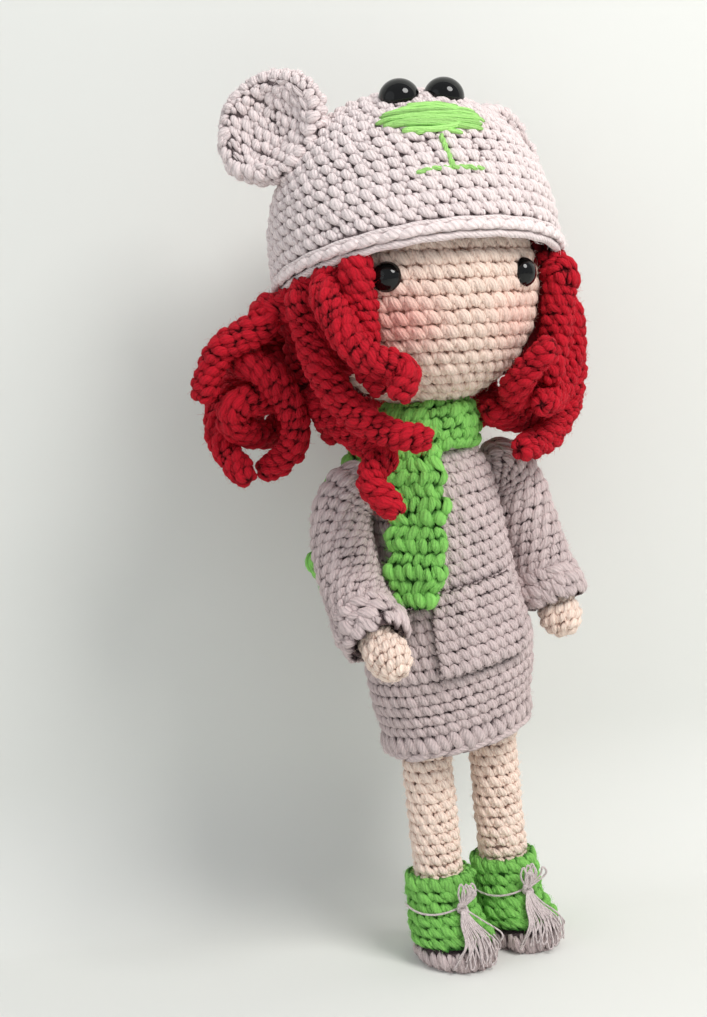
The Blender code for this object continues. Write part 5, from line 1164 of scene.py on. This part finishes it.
def make_tassel(name, side, place, body):
    """The thread through the boot: its knot, eight loops, the fringe and the band to the side."""
    yarn = Yarn(f"tassel_{name}")
    random = np.random.default_rng(150 + side)
    front = -(ANKLE_RADIUS + 0.0014)
    knot = Vector((0.0, front - 0.0018, BOOT_HEIGHT * 0.66))
    for a in (k / 7 * PI for k in range(7)):
        points = [knot + Vector((0.0015 * math.cos(t + a), 0.0008 * math.sin(t * 2 + a), 0.0017 * math.sin(t)))
                  for t in np.linspace(0, 2 * PI, 8)]
        thread(yarn, points, 0.00052, place, 6, shade=random.random())
    for _ in range(8):
        wide_x, high = random.normal(0.001, 0.0026), 0.0055 + 0.0035 * random.random()
        steps = (wide_x - 0.0009, -0.0012, high * 0.6), (wide_x, -0.0018, high), (wide_x + 0.0011, -0.0016, high * 0.6)
        points = [knot] + [knot + Vector(step) for step in steps] + [knot]
        thread(yarn, points, 0.00034, place, 6, shade=random.random())
    toe = SOLE_LENGTH - HEEL_SETBACK
    for k in range(26):
        x = (k / 25 - 0.5) * 2
        low_z = BOOT_HEIGHT * random.uniform(0.06, 0.24)
        out_y = -toe * (0.98 - 0.22 * x * x) - 0.0024
        bow = random.normal(0, 0.0007)
        points = [
            knot + Vector((x * 0.0006, -0.0004, -0.0004)),
            Vector((x * 0.0022 + bow, front - 0.0042 - 0.0008 * random.random(), BOOT_HEIGHT * 0.50)),
            Vector((x * 0.0048 + bow * 1.4, (front - toe * 1.02) * 0.55 - 0.0030, BOOT_HEIGHT * 0.36)),
            Vector((x * 0.0078 + random.normal(0, 0.0007), out_y, low_z)),
        ]
        if k % 3 == 0:
            points.append(Vector((x * 0.0078 + 0.0012, out_y - 0.0003, low_z + 0.0016)))
            points.append(Vector((x * 0.0046 + 0.0010, (front - toe) * 0.55 - 0.0036, BOOT_HEIGHT * 0.40)))
        thread(yarn, points, 0.00030, place, 6, shade=random.random())
    out = ANKLE_RADIUS + 0.0019
    band = [Vector((out * math.sin(t), -out * math.cos(t), BOOT_HEIGHT * (0.66 + 0.05 * math.sin(2 * t))))
            for t in np.radians(np.linspace(-100, 0, 9))]
    thread(yarn, band, 0.00034, place, 6)
    finish_piece(yarn, TRIM, body, [f"boot_tassel_{name}"], fuzz=False)


for side, name in ((-1, "right"), (1, "left")):
    place = DOLL @ Matrix.Translation((side * LEG_SPACING / 2, 0, 0))
    body = f"boot_{name}"
    thin = LEG_RADIUS - 0.0007
    leg = stacked([ring(thin, thin, h) for h in np.linspace(FOOT_HEIGHT + 0.0015, LEG_TOP - 0.0008, 30)], place)
    yarn = Yarn(f"leg_stitches_{name}")
    lay(yarn, leg, LIMB_STITCH, start=0.01, stop=0.99, rough=1.2, seed=120 + side)
    backing(yarn, leg, ends=True)
    finish_piece(yarn, LIMB_PEACH, "doll", [f"leg_{name}"])

    rings = [ring(ANKLE_RADIUS - DEEP_SINK, ANKLE_RADIUS - DEEP_SINK, BOOT_HEIGHT - 0.0006)]
    for share in np.linspace(0.10, 0.93, 22):
        half, front, back = boot_station(max(share, 0.17))
        length = (front + back) / 2 - DEEP_SINK
        rings.append(ring(half - DEEP_SINK, length, BOOT_HEIGHT * (1 - share), (back - front) / 2))
    base = sole_ring(0.0008, 0)
    lower = [r for r in rings if r[:, 2].min() > SOLE_TOE_HEIGHT + 0.001]
    upper = stacked(lower + [on_sole(base, 0.0008)], place)
    yarn = Yarn(f"boot_upper_stitches_{name}")
    lay(yarn, upper, BOOT_STITCH, rough=2.2, stagger=0.37, seed=130 + side, upright=False)
    backing(yarn, upper)
    thin, height = ANKLE_RADIUS - 0.0014, BOOT_HEIGHT - 0.0016
    collar = [(thin * math.cos(t), thin * math.sin(t), height + 0.0003 * math.sin(7 * t))
              for t in np.linspace(0, 2 * PI, 60)]
    thread(yarn, collar, 0.0012, place, 9, 90, first=(0, 0, 1))
    wide = LEG_RADIUS + GAP
    # The inside of the boot round the leg: a sheet painted in the groove shade
    socket = [ring(wide, wide, h) for h in np.linspace(BOOT_HEIGHT - 0.001, FOOT_HEIGHT + 0.002, 8)]
    backing(yarn, stacked(socket, place), 0.0)
    finish_piece(yarn, GREEN, body, [f"boot_upper_{name}"])

    rings = [ring(0.0004, 0.0004, 0.0, SOLE_MID), sole_ring(0.0022, 0.0), sole_ring(0.0008, 0.0012)]
    rings += [on_sole(base, -0.0006), on_sole(base * np.array((0.8, 0.8, 1)), 0.0)]
    sole = stacked(rings, place)
    yarn = Yarn(f"boot_sole_stitches_{name}")
    lay(yarn, sole, SOLE_STITCH, 0.38, 0.84, rows=2, rough=2.6, stagger=0.41, seed=140 + side, lift=-0.0006)
    backing(yarn, sole, 0.0004)
    finish_piece(yarn, MAUVE, body, [f"boot_sole_{name}"])
    make_tassel(name, side, place, body)


# ---------------------------------------------------------------- what stays as packed

for name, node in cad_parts.items():
    if node.hide_render:
        continue
    node.data.materials.clear()
    if "washer" in name:
        node.data.materials.append(CLEAR)
    else:
        node.data.materials.append(FILL)


# ---------------------------------------------------------------- stage, light and camera

VIEW_AZIMUTH, VIEW_HEIGHT, ROLL, DISTANCE = math.radians(-26), math.radians(7.75), math.radians(6.2), 0.6


def one_sided(material):
    """Leave the front of a sheet as it is, and let a view from behind it look through."""
    nodes, links = material.node_tree.nodes, material.node_tree.links
    end = next(node for node in nodes if node.type == "OUTPUT_MATERIAL").inputs["Surface"]
    side, clear = nodes.new("ShaderNodeNewGeometry"), nodes.new("ShaderNodeBsdfTransparent")
    either = nodes.new("ShaderNodeMixShader")
    links.new(side.outputs["Backfacing"], either.inputs[0])
    links.new(end.links[0].from_socket, either.inputs[1])
    links.new(clear.outputs[0], either.inputs[2])
    links.new(either.outputs[0], end)
    return material


def backdrop():
    """A pale sweep: floor in front, curving up behind."""
    start, bend = 0.014, 0.052
    profile = [(-1.6, 0.0), (start, 0.0)]
    profile += [(start + bend * math.sin(a), bend - bend * math.cos(a)) for a in np.linspace(0.12, PI / 2, 16)]
    profile += [(0.066, 3.0)]
    grid = np.array([[(x, y, z) for x in np.linspace(-2.5, 2.5, 6)] for y, z in profile])
    yarn = Yarn("paper_sweep")
    points = placed(grid.reshape(-1, 3), Matrix.Rotation(VIEW_AZIMUTH, 4, "Z"))
    yarn.add(points, grid_quads(len(profile), 6, False))
    made = yarn.make(one_sided(plain_material("pale_paper", srgb(228, 229, 225), 0.9, noise=0.012, scale=3)))


backdrop()
level = math.cos(VIEW_HEIGHT)
back = Vector((math.sin(VIEW_AZIMUTH) * level, -math.cos(VIEW_AZIMUTH) * level, math.sin(VIEW_HEIGHT)))
right = (-back).cross(Vector((0, 0, 1))).normalized()
up = right.cross(-back)
across = right * math.cos(ROLL) - up * math.sin(ROLL)
upward = right * math.sin(ROLL) + up * math.cos(ROLL)
target = OFF + Vector((-0.0149, 0.0285, 0.1456))
lens = bpy.data.cameras.new("camera")
camera = bpy.data.objects.new("camera", lens)
bpy.context.collection.objects.link(camera)
turn = Matrix((across, upward, back)).transposed().to_4x4()
camera.matrix_world = Matrix.Translation(target + back * DISTANCE) @ turn
lens.sensor_fit = "VERTICAL"
lens.sensor_width = lens.sensor_height = 24
lens.lens = 24 * 1818 / 1017
lens.clip_start, lens.clip_end = 0.01, 20
bpy.context.scene.camera = camera


def area_light(name, place, aim, size, power, colour):
    data = bpy.data.lights.new(name, "AREA")
    data.shape, data.size, data.energy, data.color = "DISK", size, power, colour
    made = bpy.data.objects.new(name, data)
    bpy.context.collection.objects.link(made)
    made.location = place
    made.rotation_mode = "QUATERNION"
    made.rotation_quaternion = (aim - place).to_track_quat("-Z", "Y")


centre = Vector((0, 0, 0.15))
key = centre + right * 0.62 + back * 0.66 + Vector((0, 0, 0.72))
fill = centre - right * 1.1 + back * 0.8 + Vector((0, 0, 0.35))
area_light("key", key, centre, 0.55, 11.0, (1.0, 0.985, 0.96))
area_light("fill", fill, centre, 1.4, 2.2, (0.95, 0.975, 1.0))
world = bpy.data.worlds.new("room")
bpy.context.scene.world = world
world.use_nodes = True
world.node_tree.nodes["Background"].inputs[0].default_value = (0.93, 0.96, 1.0, 1)
world.node_tree.nodes["Background"].inputs[1].default_value = 0.52
bpy.context.scene.view_settings.view_transform = "Standard"
